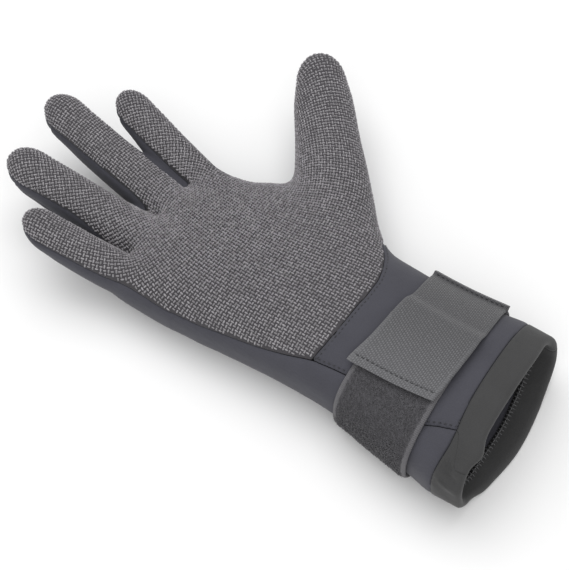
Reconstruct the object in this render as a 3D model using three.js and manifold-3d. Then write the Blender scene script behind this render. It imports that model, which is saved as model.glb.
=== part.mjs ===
import * as THREE from 'three';
import { mergeVertices } from 'three/addons/utils/BufferGeometryUtils.js';
import Module from 'manifold-3d';

// A right-hand diving glove of foam rubber cloth, lying palm up on its back.
// Millimetres. +Y runs from the cuff to the fingertips, +X to the thumb, +Z out of the palm.

// Driving dimensions
const CUFF_LENGTH = 88;       // palm-side rim to the wrist seam
const PALM_LENGTH = 115;      // wrist seam to the webs between the fingers
const CUFF_WIDTH = 99;        // across the rim
const CUFF_DEPTH = 50;        // rim, back to palm side
const WRIST_WIDTH = 86;
const WRIST_DEPTH = 46;
const PALM_WIDTH = 86;
const PALM_DEPTH = 44;
const RIM_SLANT = 8;          // how much further the rim reaches on the back
const WALL = 3;               // foam rubber cloth
const SEAM_GAP = 0.3;         // between panels that are sewn edge to edge

const INDEX_LENGTH = 67;      // each finger from its web line to its tip
const MIDDLE_LENGTH = 89;
const RING_LENGTH = 83;
const LITTLE_LENGTH = 60;
const INDEX_WIDTH = 20.5;
const MIDDLE_WIDTH = 23.5;
const RING_WIDTH = 24;
const LITTLE_WIDTH = 20;
const FINGER_CURL = 19;       // rise of the fingertips out of the palm's plane

const THUMB_LENGTH = 133;     // from the base of its mound to its tip
const THUMB_WIDTH = 35;
const THUMB_DEPTH = 29;
const THUMB_ANGLE = 52;       // degrees away from the middle of the hand
const THUMB_RISE = 16;

const HEM_LENGTH = 14.5;
const HEM_THICKNESS = 4.6;    // two leaves of the turned-in edge
const STRAP_START = 27;       // rim to the strap's near edge
const STRAP_WIDTH = 43;
const STRAP_THICKNESS = 2.2;
const STRAP_OVERLAP = 24;     // loop tape hidden under the webbing's free end
const STRAP_FIN = 4.5;        // stitched tape ends that stand out at the thumb side

// How finely the round forms are cut
const BODY_SIDES = 38;
const FINGER_SIDES = 16;

const RADIANS = Math.PI / 180;
const WEB_LINE = CUFF_LENGTH + PALM_LENGTH;
const STRAP_LIFT = STRAP_THICKNESS + SEAM_GAP;

const wasm = await Module();
wasm.setup();

const MERGE_TOLERANCE = 1e-4;
const STATION_SPACING = 1.5;  // rings closer than this to another are left out

function solidFromGeometry(geometry) {
  const bare = geometry.clone();
  bare.deleteAttribute('normal');
  bare.deleteAttribute('uv');
  const merged = mergeVertices(bare, MERGE_TOLERANCE);
  return new wasm.Manifold(new wasm.Mesh({
    numProp: 3,
    vertProperties: new Float32Array(merged.attributes.position.array),
    triVerts: new Uint32Array(merged.index.array),
  }));
}

// A closed solid through rings of equal count, each ring going the same way round.
function loftSolid(rings) {
  const sides = rings[0].length;
  const points = rings.flat();
  const faces = [];
  for (let ring = 0; ring + 1 < rings.length; ring += 1) {
    for (let side = 0; side < sides; side += 1) {
      const next = (side + 1) % sides;
      const a = ring * sides + side;
      const b = ring * sides + next;
      const c = a + sides;
      const d = b + sides;
      faces.push(a, b, d, a, d, c);
    }
  }
  const ends = [[rings[0], 0, true], [rings.at(-1), (rings.length - 1) * sides, false]];
  for (const [ring, first, isStart] of ends) {
    const centre = ring.reduce((sum, p) => sum.add(p), new THREE.Vector3()).divideScalar(sides);
    const middle = points.push(centre) - 1;
    for (let side = 0; side < sides; side += 1) {
      const a = first + side;
      const b = first + (side + 1) % sides;
      faces.push(middle, isStart ? b : a, isStart ? a : b);
    }
  }
  const volume = faces.reduce((sum, _, i) => (i % 3 ? sum
    : sum + points[faces[i]].dot(points[faces[i + 1]].clone().cross(points[faces[i + 2]]))), 0);
  if (volume < 0) faces.reverse();
  const geometry = new THREE.BufferGeometry().setFromPoints(points);
  geometry.setIndex(faces);
  return solidFromGeometry(geometry);
}

// A point of an oval: a superellipse whose upper and lower halves may be squarer.
function ovalPoint(angle, halfWidth, halfDepth, upper, lower) {
  const cos = Math.cos(angle);
  const sin = Math.sin(angle);
  const power = 2 / (sin > 0 ? upper : lower);
  return [
    halfWidth * Math.sign(cos) * Math.abs(cos) ** power,
    halfDepth * Math.sign(sin) * Math.abs(sin) ** power,
  ];
}

const blend = (a, b, share) => a + (b - a) * share;

function tableValue(rows, at, column) {
  const last = rows.length - 1;
  if (at <= rows[0].at) return rows[0][column];
  if (at >= rows[last].at) return rows[last][column];
  const upper = rows.findIndex((row) => row.at > at);
  const [a, b] = [rows[upper - 1], rows[upper]];
  return blend(a[column], b[column], (at - a.at) / (b.at - a.at));
}

// Cuff: at is a share of CUFF_LENGTH, flare goes from the wrist's size (0) to the rim's (1),
// middle is a share of PALM_WIDTH and slant one of RIM_SLANT.
const CUFF_SECTIONS = [
  { at: 0.00, flare: 0.96, middle: 0.025, slant: 1.0 },
  { at: 0.17, flare: 1.00, middle: 0.022, slant: 0.8 },
  { at: 0.31, flare: 0.70, middle: 0.030, slant: 0.5 },
  { at: 0.55, flare: 0.30, middle: 0.045, slant: 0.2 },
  { at: 0.80, flare: 0.02, middle: 0.070, slant: 0.0 },
  { at: 1.00, flare: 0.00, middle: 0.078, slant: 0.0 },
];

// Palm: at is a share of PALM_LENGTH, width and middle are shares of PALM_WIDTH, top and
// bottom are the heights of its two faces, shares of PALM_DEPTH.
const PALM_SECTIONS = [
  { at: 0.00, width: 1.00, middle: 0.078, top: 1.04, bottom: 0.00 },
  { at: 0.20, width: 1.04, middle: 0.090, top: 1.04, bottom: 0.00 },
  { at: 0.45, width: 1.10, middle: 0.095, top: 1.00, bottom: 0.00 },
  { at: 0.58, width: 1.14, middle: 0.100, top: 0.97, bottom: 0.00 },
  { at: 0.66, width: 1.13, middle: 0.090, top: 0.94, bottom: 0.00 },
  { at: 0.76, width: 1.07, middle: 0.058, top: 0.90, bottom: 0.00 },
  { at: 0.86, width: 1.02, middle: 0.040, top: 0.85, bottom: 0.03 },
  { at: 0.95, width: 0.96, middle: 0.025, top: 0.76, bottom: 0.13 },
  { at: 1.00, width: 0.88, middle: 0.020, top: 0.66, bottom: 0.23 },
  { at: 1.03, width: 0.76, middle: 0.020, top: 0.54, bottom: 0.34 },
];

const UPPER_SQUARENESS = 2.35;
const LOWER_SQUARENESS = 2.9;
const SOLE = 1.5;             // how much of the oval the table surface flattens away
const STRAP_END = STRAP_START + STRAP_WIDTH;
const STRAP_EASE = 5;         // the cloth rises out of the strap's seat over this length

// The strap passes under the glove, so the back rises there by the strap's own thickness.
function seatHeight(y) {
  const outside = Math.max(STRAP_START - y, y - STRAP_END, 0);
  return STRAP_LIFT * Math.max(0, 1 - outside / STRAP_EASE);
}

function bodySection(y) {
  if (y <= CUFF_LENGTH) {
    const at = y / CUFF_LENGTH;
    const flare = tableValue(CUFF_SECTIONS, at, 'flare');
    return {
      width: blend(WRIST_WIDTH, CUFF_WIDTH, flare),
      top: blend(WRIST_DEPTH, CUFF_DEPTH, flare),
      bottom: 0,
      middle: tableValue(CUFF_SECTIONS, at, 'middle') * PALM_WIDTH,
      slant: tableValue(CUFF_SECTIONS, at, 'slant') * RIM_SLANT,
      floor: seatHeight(y),
    };
  }
  const at = (y - CUFF_LENGTH) / PALM_LENGTH;
  return {
    width: tableValue(PALM_SECTIONS, at, 'width') * PALM_WIDTH,
    top: tableValue(PALM_SECTIONS, at, 'top') * PALM_DEPTH,
    bottom: tableValue(PALM_SECTIONS, at, 'bottom') * PALM_DEPTH,
    middle: tableValue(PALM_SECTIONS, at, 'middle') * PALM_WIDTH,
    slant: 0,
    floor: 0,
  };
}

// A point of the cuff and palm, offset outwards from the outer face.
function bodyPoint(y, turn, offset) {
  const { width, top, bottom, middle, slant, floor } = bodySection(y);
  const halfDepth = (top - bottom + SOLE) / 2;
  const centre = top - halfDepth;
  const [x, up] = ovalPoint(turn, width / 2 + offset, halfDepth + offset,
    UPPER_SQUARENESS, LOWER_SQUARENESS);
  const z = Math.max(centre + up, floor - offset);
  return new THREE.Vector3(middle + x, y - slant * (1 - z / top), z);
}

function bodyRing(y, offset) {
  return Array.from({ length: BODY_SIDES },
    (_, side) => bodyPoint(y, 2 * Math.PI * side / BODY_SIDES, offset));
}

// Rings of the body: at the hem's and the strap's edges, and at the tables' rows elsewhere.
const EDGE_STATIONS = [
  0, HEM_LENGTH, STRAP_START - STRAP_EASE, STRAP_START, STRAP_END, STRAP_END + STRAP_EASE,
];
const BODY_STATIONS = [
  ...EDGE_STATIONS,
  ...[
    ...CUFF_SECTIONS.map((row) => row.at * CUFF_LENGTH),
    ...PALM_SECTIONS.slice(1).map((row) => CUFF_LENGTH + row.at * PALM_LENGTH),
  ].filter((y) => EDGE_STATIONS.every((edge) => Math.abs(y - edge) > STATION_SPACING)),
].sort((a, b) => a - b);

// Fingers: root is where the centreline crosses the web line, as shares of PALM_WIDTH and
// PALM_LENGTH, heading is degrees towards the thumb.
const FINGERS = [
  { name: 'little', length: LITTLE_LENGTH, width: LITTLE_WIDTH, x: -0.360, y: 0.955, heading: -8 },
  { name: 'ring', length: RING_LENGTH, width: RING_WIDTH, x: -0.090, y: 1.000, heading: -4.5 },
  { name: 'middle', length: MIDDLE_LENGTH, width: MIDDLE_WIDTH, x: 0.180, y: 1.000, heading: 6.5 },
  { name: 'index', length: INDEX_LENGTH, width: INDEX_WIDTH, x: 0.430, y: 0.950, heading: 11 },
];

// Down a finger: at is a share of its length, width and depth are shares of its width.
const FINGER_SECTIONS = [
  { at: -0.40, width: 0.92, depth: 1.15 },
  { at: 0.00, width: 0.98, depth: 1.15 },
  { at: 0.30, width: 1.03, depth: 1.08 },
  { at: 0.60, width: 1.02, depth: 1.00 },
  { at: 0.80, width: 0.97, depth: 0.92 },
];
const FINGER_ROOT_HEIGHT = 0.47;   // share of PALM_DEPTH
const TIP_LENGTH = 0.68;           // round tip, share of the finger's width
const TIP_TURNS = [0, 28, 50, 68, 80];
const FINGER_SQUARENESS = 2.2;
const FINGER_CURL_POWER = 1.5;     // how late along the finger the curl comes

// Down the thumb: at is a share of its length, width and depth are shares of the thumb's own.
const THUMB_SECTIONS = [
  { at: 0.00, width: 1.15, depth: 1.10 },
  { at: 0.22, width: 1.22, depth: 1.18 },
  { at: 0.45, width: 1.12, depth: 1.08 },
  { at: 0.62, width: 0.99, depth: 0.98 },
  { at: 0.78, width: 0.91, depth: 0.88 },
  { at: 0.90, width: 0.78, depth: 0.76 },
];
const THUMB_ROOT = { x: 0.29, y: 0.15, z: 0.52 };   // shares of the palm's width, length, depth
const THUMB_CURL_POWER = 1.3;

function tubeDirection(heading) {
  return new THREE.Vector3(Math.sin(heading * RADIANS), Math.cos(heading * RADIANS), 0);
}

// Rings along a finger or thumb whose tip curls up out of the palm's plane.
function tubeRings(tube, offset) {
  const { root, heading, length, sections, width, depth, rise, curl } = tube;
  const forward = tubeDirection(heading);
  const across = new THREE.Vector3(forward.y, -forward.x, 0);
  const reach = length + offset;
  const tip = TIP_LENGTH * tableValue(sections, 1, 'width') * width;
  const stations = sections.map((row) => row.at * length)
    .filter((s) => s < reach - tip - STATION_SPACING)
    .map((s) => [s, 1]);
  for (const turn of TIP_TURNS) {
    stations.push([reach - tip + tip * Math.sin(turn * RADIANS), Math.cos(turn * RADIANS)]);
  }
  return stations.map(([s, share]) => {
    const along = Math.max(s / length, 0);
    const slope = rise * curl * along ** (curl - 1) / length;
    const up = new THREE.Vector3(0, 0, 1).addScaledVector(forward, -slope).normalize();
    const centre = root.clone().addScaledVector(forward, s);
    centre.z += rise * along ** curl;
    const halfWidth = (tableValue(sections, s / length, 'width') * width / 2 + offset) * share;
    const halfDepth = (tableValue(sections, s / length, 'depth') * depth / 2 + offset) * share;
    return Array.from({ length: FINGER_SIDES }, (_, side) => {
      const [x, z] = ovalPoint(2 * Math.PI * side / FINGER_SIDES, halfWidth, halfDepth,
        FINGER_SQUARENESS, FINGER_SQUARENESS);
      return centre.clone().addScaledVector(across, x).addScaledVector(up, z);
    });
  });
}

const fingerTubes = FINGERS.map((finger) => ({
  name: finger.name,
  root: new THREE.Vector3(finger.x * PALM_WIDTH, CUFF_LENGTH + finger.y * PALM_LENGTH,
    FINGER_ROOT_HEIGHT * PALM_DEPTH),
  heading: finger.heading,
  length: finger.length,
  sections: FINGER_SECTIONS,
  width: finger.width,
  depth: finger.width,
  rise: FINGER_CURL,
  curl: FINGER_CURL_POWER,
}));

const thumbTube = {
  root: new THREE.Vector3(THUMB_ROOT.x * PALM_WIDTH, CUFF_LENGTH + THUMB_ROOT.y * PALM_LENGTH,
    THUMB_ROOT.z * PALM_DEPTH),
  heading: THUMB_ANGLE,
  length: THUMB_LENGTH,
  sections: THUMB_SECTIONS,
  width: THUMB_WIDTH,
  depth: THUMB_DEPTH,
  rise: THUMB_RISE,
  curl: THUMB_CURL_POWER,
};

// The whole hand form at an offset from its outer face. The body's end moves with the offset.
function handForm(offset) {
  const end = BODY_STATIONS.at(-1) + offset;
  const stations = [...BODY_STATIONS.filter((y) => y < end - STATION_SPACING), end];
  const body = loftSolid(stations.map((y) => bodyRing(y, offset)));
  const tubes = [...fingerTubes, thumbTube].map((tube) => loftSolid(tubeRings(tube, offset)));
  return tubes.reduce((whole, tube) => whole.add(tube), body);
}

// A solid above a sheet that follows rows of points. Each row lies across the hand at one y and
// holds [x, z] points; the sheet's first and last points reach past the object's sides.
const REACH = 400;

function solidAbove(rows) {
  return loftSolid(rows.map(({ y, points }) => [
    ...points.map(([x, z]) => new THREE.Vector3(x, y, z)),
    new THREE.Vector3(points.at(-1)[0], y, REACH),
    new THREE.Vector3(points[0][0], y, REACH),
  ]));
}

// A straight-sided solid over an outline in plan.
function planSolid(outline) {
  const shape = new THREE.Shape(outline.map(([x, y]) => new THREE.Vector2(x, y)));
  const geometry = new THREE.ExtrudeGeometry(shape, { depth: 2 * REACH, bevelEnabled: false });
  return solidFromGeometry(geometry.translate(0, 0, -REACH));
}

// Where the palm fabric ends on the two sides of the hand: at is a share of PALM_LENGTH,
// the heights are shares of PALM_DEPTH.
const SIDE_SEAM = [
  { at: -0.80, little: 1.04, thumb: 0.50 },
  { at: -0.30, little: 0.96, thumb: 0.52 },
  { at: 0.00, little: 0.89, thumb: 0.55 },
  { at: 0.15, little: 0.80, thumb: 0.60 },
  { at: 0.40, little: 0.70, thumb: 0.62 },
  { at: 0.75, little: 0.62, thumb: 0.60 },
  { at: 0.93, little: 0.64, thumb: 0.64 },
];

// Down a finger: how far the two seams of its side strip stand from its middle, as shares of
// its half depth. They meet at the middle of the tip.
const FINGER_SEAMS = [
  { at: 0.00, palm: 0.56, back: -0.50 },
  { at: 0.50, palm: 0.50, back: -0.50 },
  { at: 0.85, palm: 0.28, back: -0.40 },
  { at: 1.00, palm: 0.05, back: -0.30 },
];

// The middle line of a finger where it crosses a given y, and the height of one of its seams.
function fingerAt(tube, y, seam) {
  const forward = tubeDirection(tube.heading);
  const s = (y - tube.root.y) / forward.y;
  const along = THREE.MathUtils.clamp(s / tube.length, 0, 1);
  const halfDepth = tableValue(tube.sections, along, 'depth') * tube.depth / 2;
  return [
    tube.root.x + forward.x * s,
    tube.root.z + tube.rise * along ** tube.curl
      + halfDepth * tableValue(FINGER_SEAMS, along, seam),
  ];
}

const FINGER_REACH = Math.max(...fingerTubes.map((tube) => tube.root.y + tube.length));
const SHEET_STEPS = 8;

// The sheet that parts the palm side (or the back) from the sides, raised by an amount.
function seamSheet(seam, raise) {
  const sideRows = SIDE_SEAM.map(({ at, little, thumb }) => ({
    y: CUFF_LENGTH + at * PALM_LENGTH,
    points: [
      [-REACH, little * PALM_DEPTH],
      ...fingerTubes.map((tube, i) => [
        tube.root.x,
        blend(little, thumb, i / (fingerTubes.length - 1)) * PALM_DEPTH,
      ]),
      [REACH, thumb * PALM_DEPTH],
    ],
  }));
  const fingerRows = Array.from({ length: SHEET_STEPS }, (_, step) => {
    const y = blend(WEB_LINE, FINGER_REACH + WALL, step / (SHEET_STEPS - 1));
    const points = fingerTubes.map((tube) => fingerAt(tube, y, seam));
    return { y, points: [[-REACH, points[0][1]], ...points, [REACH, points.at(-1)[1]]] };
  });
  const rows = [...(seam === 'palm' ? sideRows : []), ...fingerRows];
  if (seam === 'back') rows.unshift({ ...fingerRows[0], y: WEB_LINE - PALM_LENGTH / 2 });
  return solidAbove(rows.map((row) => ({
    y: row.y,
    points: row.points.map(([x, z]) => [x, z + raise]),
  })));
}

// The thumb's front: everything above its seam, from its mound to past its tip. Stations are
// shares of the thumb's length, the block's reach to each side is a share of its width.
const THUMB_FRONT = [0.25, 0.5, 0.75, 1, 1.1];
const THUMB_FRONT_REACH = 0.8;

function thumbFront(raise) {
  const forward = tubeDirection(thumbTube.heading);
  const across = new THREE.Vector3(forward.y, -forward.x, 0);
  const side = thumbTube.width * THUMB_FRONT_REACH;
  const rings = THUMB_FRONT.map((share) => {
    const centre = thumbTube.root.clone().addScaledVector(forward, share * thumbTube.length);
    centre.z += thumbTube.rise * share ** thumbTube.curl + raise;
    return [[-side, 0], [side, 0], [side, REACH], [-side, REACH]].map(([x, z]) => (
      centre.clone().addScaledVector(across, x).add(new THREE.Vector3(0, 0, z))
    ));
  });
  return loftSolid(rings);
}

// The wrist seam across the palm side, in plan: x is a share of PALM_WIDTH and rise, a share of
// PALM_LENGTH, is how far past CUFF_LENGTH it lies. It climbs round the thumb's mound.
const WRIST_SEAM = [
  { x: -0.60, rise: 0.050 },
  { x: -0.36, rise: 0.035 },
  { x: -0.20, rise: 0.010 },
  { x: 0.00, rise: -0.005 },
  { x: 0.22, rise: 0.000 },
  { x: 0.38, rise: 0.050 },
  { x: 0.50, rise: 0.090 },
  { x: 0.62, rise: 0.110 },
];

function abovePalmSeam(shift) {
  const seam = WRIST_SEAM.map(({ x, rise }) => (
    [x * PALM_WIDTH, CUFF_LENGTH + rise * PALM_LENGTH + shift]
  ));
  const [first, last] = [seam[0], seam.at(-1)];
  return planSolid([
    [-REACH, first[1]], ...seam, [REACH, last[1] + REACH / 2], [REACH, REACH], [-REACH, REACH],
  ]);
}

// The strip between two neighbouring fingers, in plan. It runs from one finger's middle line to
// the other's and stops short of the tips.
const STRIP_STOP = 0.80;      // shares of a finger's length
const STRIP_END = 0.94;
const STRIP_CLEAR = 0.6;      // of a finger's width, past its outer face
const STRIP_START = 0.22;     // of PALM_LENGTH, back from the web line, inside the hollow palm

function stripPlan(lower, upper, grow) {
  const stop = (tube, share) => tube.root.y + share * tube.length + grow;
  const middle = (tube, y) => fingerAt(tube, y, 'palm')[0];
  const start = WEB_LINE - STRIP_START * PALM_LENGTH;
  const [lowStop, upStop] = [lower, upper].map((tube) => stop(tube, STRIP_STOP));
  const [lowEnd, upEnd] = [lower, upper].map((tube) => stop(tube, STRIP_END));
  return planSolid([
    [middle(lower, start) - grow, start - grow],
    [middle(upper, start) + grow, start - grow],
    [middle(upper, upStop) + grow, upStop],
    [middle(upper, upEnd) - upper.width * STRIP_CLEAR, upEnd],
    [middle(lower, lowEnd) + lower.width * STRIP_CLEAR, lowEnd],
    [middle(lower, lowStop) - grow, lowStop],
  ]);
}

// A slab across the cuff between two distances from the rim, following the rim's slant.
function cuffSlab(start, end) {
  const side = CUFF_WIDTH;
  const ring = (y) => {
    const { slant, top } = bodySection(y);
    const lean = slant / top;
    return [[-side, -REACH], [side, -REACH], [side, REACH], [-side, REACH]]
      .map(([x, z]) => new THREE.Vector3(x, y - slant + lean * z, z));
  };
  return loftSolid([ring(start), ring(end)]);
}

const halfGap = SEAM_GAP / 2;
const outer = handForm(0);
const shell = outer.subtract(handForm(-WALL)).subtract(cuffSlab(-REACH / 2, HEM_LENGTH + SEAM_GAP));

const handEnd = abovePalmSeam(halfGap);
const palmSide = (raise) => seamSheet('palm', raise).add(thumbFront(raise));
const palmPanel = shell.intersect(palmSide(halfGap)).intersect(handEnd);
const wristPanel = shell.intersect(seamSheet('palm', halfGap)).subtract(abovePalmSeam(-halfGap));

const strips = {};
const stripSpace = seamSheet('back', halfGap).subtract(seamSheet('palm', -halfGap));
const stripCut = seamSheet('back', -halfGap).subtract(seamSheet('palm', halfGap));
let backPanel = shell.subtract(palmSide(-halfGap).intersect(abovePalmSeam(-halfGap)))
  .subtract(seamSheet('palm', -halfGap));
for (let i = 0; i + 1 < fingerTubes.length; i += 1) {
  const [lower, upper] = [fingerTubes[i], fingerTubes[i + 1]];
  const name = `fourchette_${upper.name}_${lower.name}`;
  strips[name] = shell.intersect(stripSpace).intersect(stripPlan(lower, upper, 0));
  backPanel = backPanel.subtract(stripCut.intersect(stripPlan(lower, upper, SEAM_GAP)));
}

// The hem: a band of two leaves that ends the cuff, split where the cuff's side seams are. Its
// bore runs on by the hem's length at both ends, so that it cuts right through.
function hemBand() {
  const [rim, end] = [bodyRing(0, -HEM_THICKNESS), bodyRing(HEM_LENGTH, -HEM_THICKNESS)];
  const extend = (from, to) => to.map((p, i) => p.clone().multiplyScalar(2).sub(from[i]));
  const bore = loftSolid([extend(end, rim), rim, end, extend(rim, end)]);
  return loftSolid([bodyRing(0, 0), bodyRing(HEM_LENGTH, 0)]).subtract(bore);
}
const hem = hemBand();
const hemPalm = hem.intersect(seamSheet('palm', halfGap));
const hemBack = hem.subtract(seamSheet('palm', -halfGap));

// The strap's two tapes lie on the cuff between the strap's edges. Both start in the fin at the
// thumb side, where their ends stand out back to back.
const STRAP_STATIONS = BODY_STATIONS.filter((y) => y >= STRAP_START && y <= STRAP_END);
const SIDE_TURN = 2 * Math.PI / BODY_SIDES;
const WEBBING_TURN = 0.32;    // share of the way round that the webbing covers
const WEBBING_SIDES = Math.round(WEBBING_TURN * BODY_SIDES);
const sideLength = bodyPoint(STRAP_START, (WEBBING_SIDES - 1) * SIDE_TURN, 0)
  .distanceTo(bodyPoint(STRAP_START, WEBBING_SIDES * SIDE_TURN, 0));
const OVERLAP_SIDES = Math.round(STRAP_OVERLAP / sideLength);
const LOOP_SIDES = BODY_SIDES - WEBBING_SIDES + OVERLAP_SIDES;

// A tape round the cuff. way is 1 over the palm side and -1 under the back; lifts gives the
// tape's height over the cloth at each side of the cuff that it covers.
function tapeSolid(way, lifts) {
  const section = (turn, near, far, nearRise, farRise) => {
    const edge = (offset, rise) => STRAP_STATIONS.map((y) => {
      const point = bodyPoint(y, turn * way * SIDE_TURN, offset);
      return point.setZ(point.z + rise * way);
    });
    return [...edge(near, nearRise), ...edge(far, farRise).reverse()];
  };
  const finTop = halfGap + STRAP_THICKNESS;
  return loftSolid([
    section(0, STRAP_FIN, STRAP_FIN, halfGap, finTop),
    section(0, SEAM_GAP, SEAM_GAP + STRAP_THICKNESS, halfGap, finTop),
    ...lifts.map((lift, i) => section(i + 1, lift, lift + STRAP_THICKNESS, 0, 0)),
  ]);
}

const underLift = SEAM_GAP;
const overLift = SEAM_GAP + STRAP_LIFT;
const RAMP_SIDES = 2;         // the webbing starts to climb this far before the loop tape's end
const webbing = tapeSolid(1, Array.from({ length: WEBBING_SIDES },
  (_, i) => (i + RAMP_SIDES < WEBBING_SIDES - OVERLAP_SIDES ? underLift : overLift)));
const loopTape = tapeSolid(-1, Array.from({ length: LOOP_SIDES }, () => underLift));

function nodeMesh(name, solid, colour, roughness) {
  const { vertProperties, triVerts } = solid.getMesh();
  const geometry = new THREE.BufferGeometry();
  geometry.setAttribute('position', new THREE.BufferAttribute(new Float32Array(vertProperties), 3));
  geometry.setIndex(new THREE.BufferAttribute(new Uint32Array(triVerts), 1));
  geometry.computeVertexNormals();
  const material = new THREE.MeshStandardMaterial({ color: colour, roughness, metalness: 0 });
  const mesh = new THREE.Mesh(geometry, material);
  mesh.name = name;
  return mesh;
}

const glove = new THREE.Group();
glove.add(
  nodeMesh('palm_panel', palmPanel, 0x6a686c, 0.85),
  nodeMesh('wrist_panel', wristPanel, 0x50515a, 0.9),
  nodeMesh('back_panel', backPanel, 0x50515a, 0.9),
  ...Object.entries(strips).map(([name, strip]) => nodeMesh(name, strip, 0x46474f, 0.9)),
  nodeMesh('hem_palm_side', hemPalm, 0x4b4b4c, 0.9),
  nodeMesh('hem_back_side', hemBack, 0x4b4b4c, 0.9),
  nodeMesh('strap_webbing', webbing, 0x606062, 0.8),
  nodeMesh('strap_loop_tape', loopTape, 0x47474a, 0.95),
);

// The origin is on the table surface, under the middle of the whole glove.
const box = new THREE.Box3().setFromObject(glove);
const middle = box.getCenter(new THREE.Vector3());
glove.position.set(-middle.x, -middle.y, -box.min.z);
export default glove;
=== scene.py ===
"""A right-hand diving glove of foam rubber cloth, lying palm up on its back.

The forms are worked out in the hand's own millimetres, with y running from the cuff's rim to the
fingertips, x to the thumb and z out of the palm. Meshes and lights are in metres, in the frame.
"""
import functools
import math

import bmesh
import bpy
import numpy as np
from mathutils import Matrix, Vector


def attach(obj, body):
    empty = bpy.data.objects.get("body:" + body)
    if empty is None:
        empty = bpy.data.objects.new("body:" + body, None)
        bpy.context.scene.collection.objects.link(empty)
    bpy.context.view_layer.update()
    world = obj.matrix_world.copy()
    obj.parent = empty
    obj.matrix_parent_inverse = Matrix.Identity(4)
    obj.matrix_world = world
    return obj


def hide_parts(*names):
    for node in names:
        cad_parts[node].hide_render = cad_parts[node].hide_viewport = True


bl_info = {
    "name": "Diving glove",
    "version": (1, 0, 0),
    "blender": (4, 5, 0),
    "location": "3D View > Sidebar > Diving Glove",
    "description": "Builds a diving glove of foam rubber cloth over its frame",
    "category": "Object",
}

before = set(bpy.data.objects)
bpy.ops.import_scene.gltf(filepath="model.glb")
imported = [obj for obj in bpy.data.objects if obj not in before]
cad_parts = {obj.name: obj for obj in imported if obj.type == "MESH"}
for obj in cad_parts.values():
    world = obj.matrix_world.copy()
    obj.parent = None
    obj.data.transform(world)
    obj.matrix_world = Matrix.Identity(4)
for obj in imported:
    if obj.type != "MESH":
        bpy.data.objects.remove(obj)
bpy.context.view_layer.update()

# ---- The hand's form, in millimetres -------------------------------------------------------

FRAME_ORIGIN = np.array([42.118, 141.908, 0.0])
CUFF_LENGTH, PALM_LENGTH = 88.0, 115.0
CUFF_WIDTH, CUFF_DEPTH = 99.0, 50.0
WRIST_WIDTH, WRIST_DEPTH = 86.0, 46.0
PALM_WIDTH, PALM_DEPTH = 86.0, 44.0
# The rim: how far it slants, how far its back sags and how far both die away to the sides, and
# how much it falls short of that by the little finger's side.
RIM_SLANT, RIM_SAG, SAG_TO_THUMB, SAG_TO_LITTLE = 8.0, 4.8, 50.0, 40.0
RIM_SHORT, SHORT_START, SHORT_END = 2.0, 28.0, 38.0
WEB_LINE = CUFF_LENGTH + PALM_LENGTH
SEAM_GAP = 0.3
SOLE, SOLE_BLEND = 1.5, 2.0
UPPER_POWER, LOWER_POWER = 2.35, 2.9

HEM_LENGTH = 14.5
HEM_LEAF, HEM_OUTER, HEM_THICKNESS, HEM_INNER = 2.2, 2.15, 4.6, 11.4
# Turns round the cuff, in radians: where the hem draws in at the side seam, where it gathers,
# and how far its own seam runs on round the cuff on its way to the rim.
DRAWN_TURN, PUCKER_TURN, SEAM_SKEW = 2.25, 2.75, 0.47
STRAP_START, STRAP_WIDTH, STRAP_THICKNESS = 27.0, 43.0, 2.2
STRAP_END = STRAP_START + STRAP_WIDTH
STRAP_LIFT = STRAP_THICKNESS + SEAM_GAP
STRAP_EASE = 5.0

# Cuff: share of CUFF_LENGTH, flare from wrist to rim, middle and slant shares.
CUFF_ROWS = np.array([
    (0.00, 0.96, 0.025, 1.0),
    (0.17, 1.00, 0.022, 0.8),
    (0.31, 0.70, 0.030, 0.5),
    (0.55, 0.30, 0.045, 0.2),
    (0.80, 0.02, 0.070, 0.0),
    (1.00, 0.00, 0.078, 0.0),
])
# Palm: share of PALM_LENGTH, width, middle, and the heights of its two faces.
PALM_ROWS = np.array([
    (0.00, 1.00, 0.078, 1.04, 0.00),
    (0.20, 1.04, 0.090, 1.04, 0.00),
    (0.45, 1.10, 0.095, 1.00, 0.00),
    (0.58, 1.14, 0.100, 0.97, 0.00),
    (0.66, 1.13, 0.090, 0.94, 0.00),
    (0.76, 1.07, 0.058, 0.90, 0.00),
    (0.86, 1.02, 0.040, 0.85, 0.03),
    (0.95, 0.96, 0.025, 0.76, 0.13),
    (1.00, 0.88, 0.020, 0.66, 0.23),
    (1.03, 0.76, 0.020, 0.54, 0.34),
])
# Finger: share of its length, width and depth as shares of its width.
FINGER_ROWS = np.array([
    (-0.40, 0.92, 1.15),
    (0.00, 0.98, 1.15),
    (0.30, 1.03, 1.08),
    (0.60, 1.02, 1.00),
    (0.80, 0.97, 0.92),
])
THUMB_ROWS = np.array([
    (0.00, 1.15, 1.10),
    (0.22, 1.22, 1.18),
    (0.45, 1.12, 1.08),
    (0.62, 0.99, 0.98),
    (0.78, 0.91, 0.88),
    (0.90, 0.78, 0.76),
])
TIP_LENGTH = 0.68
FINGER_POWER = 2.2
BODY_BLEND, WEB_BLEND, THUMB_BLEND = 8.0, 5.0, 13.0   # how softly the forms run together


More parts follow.
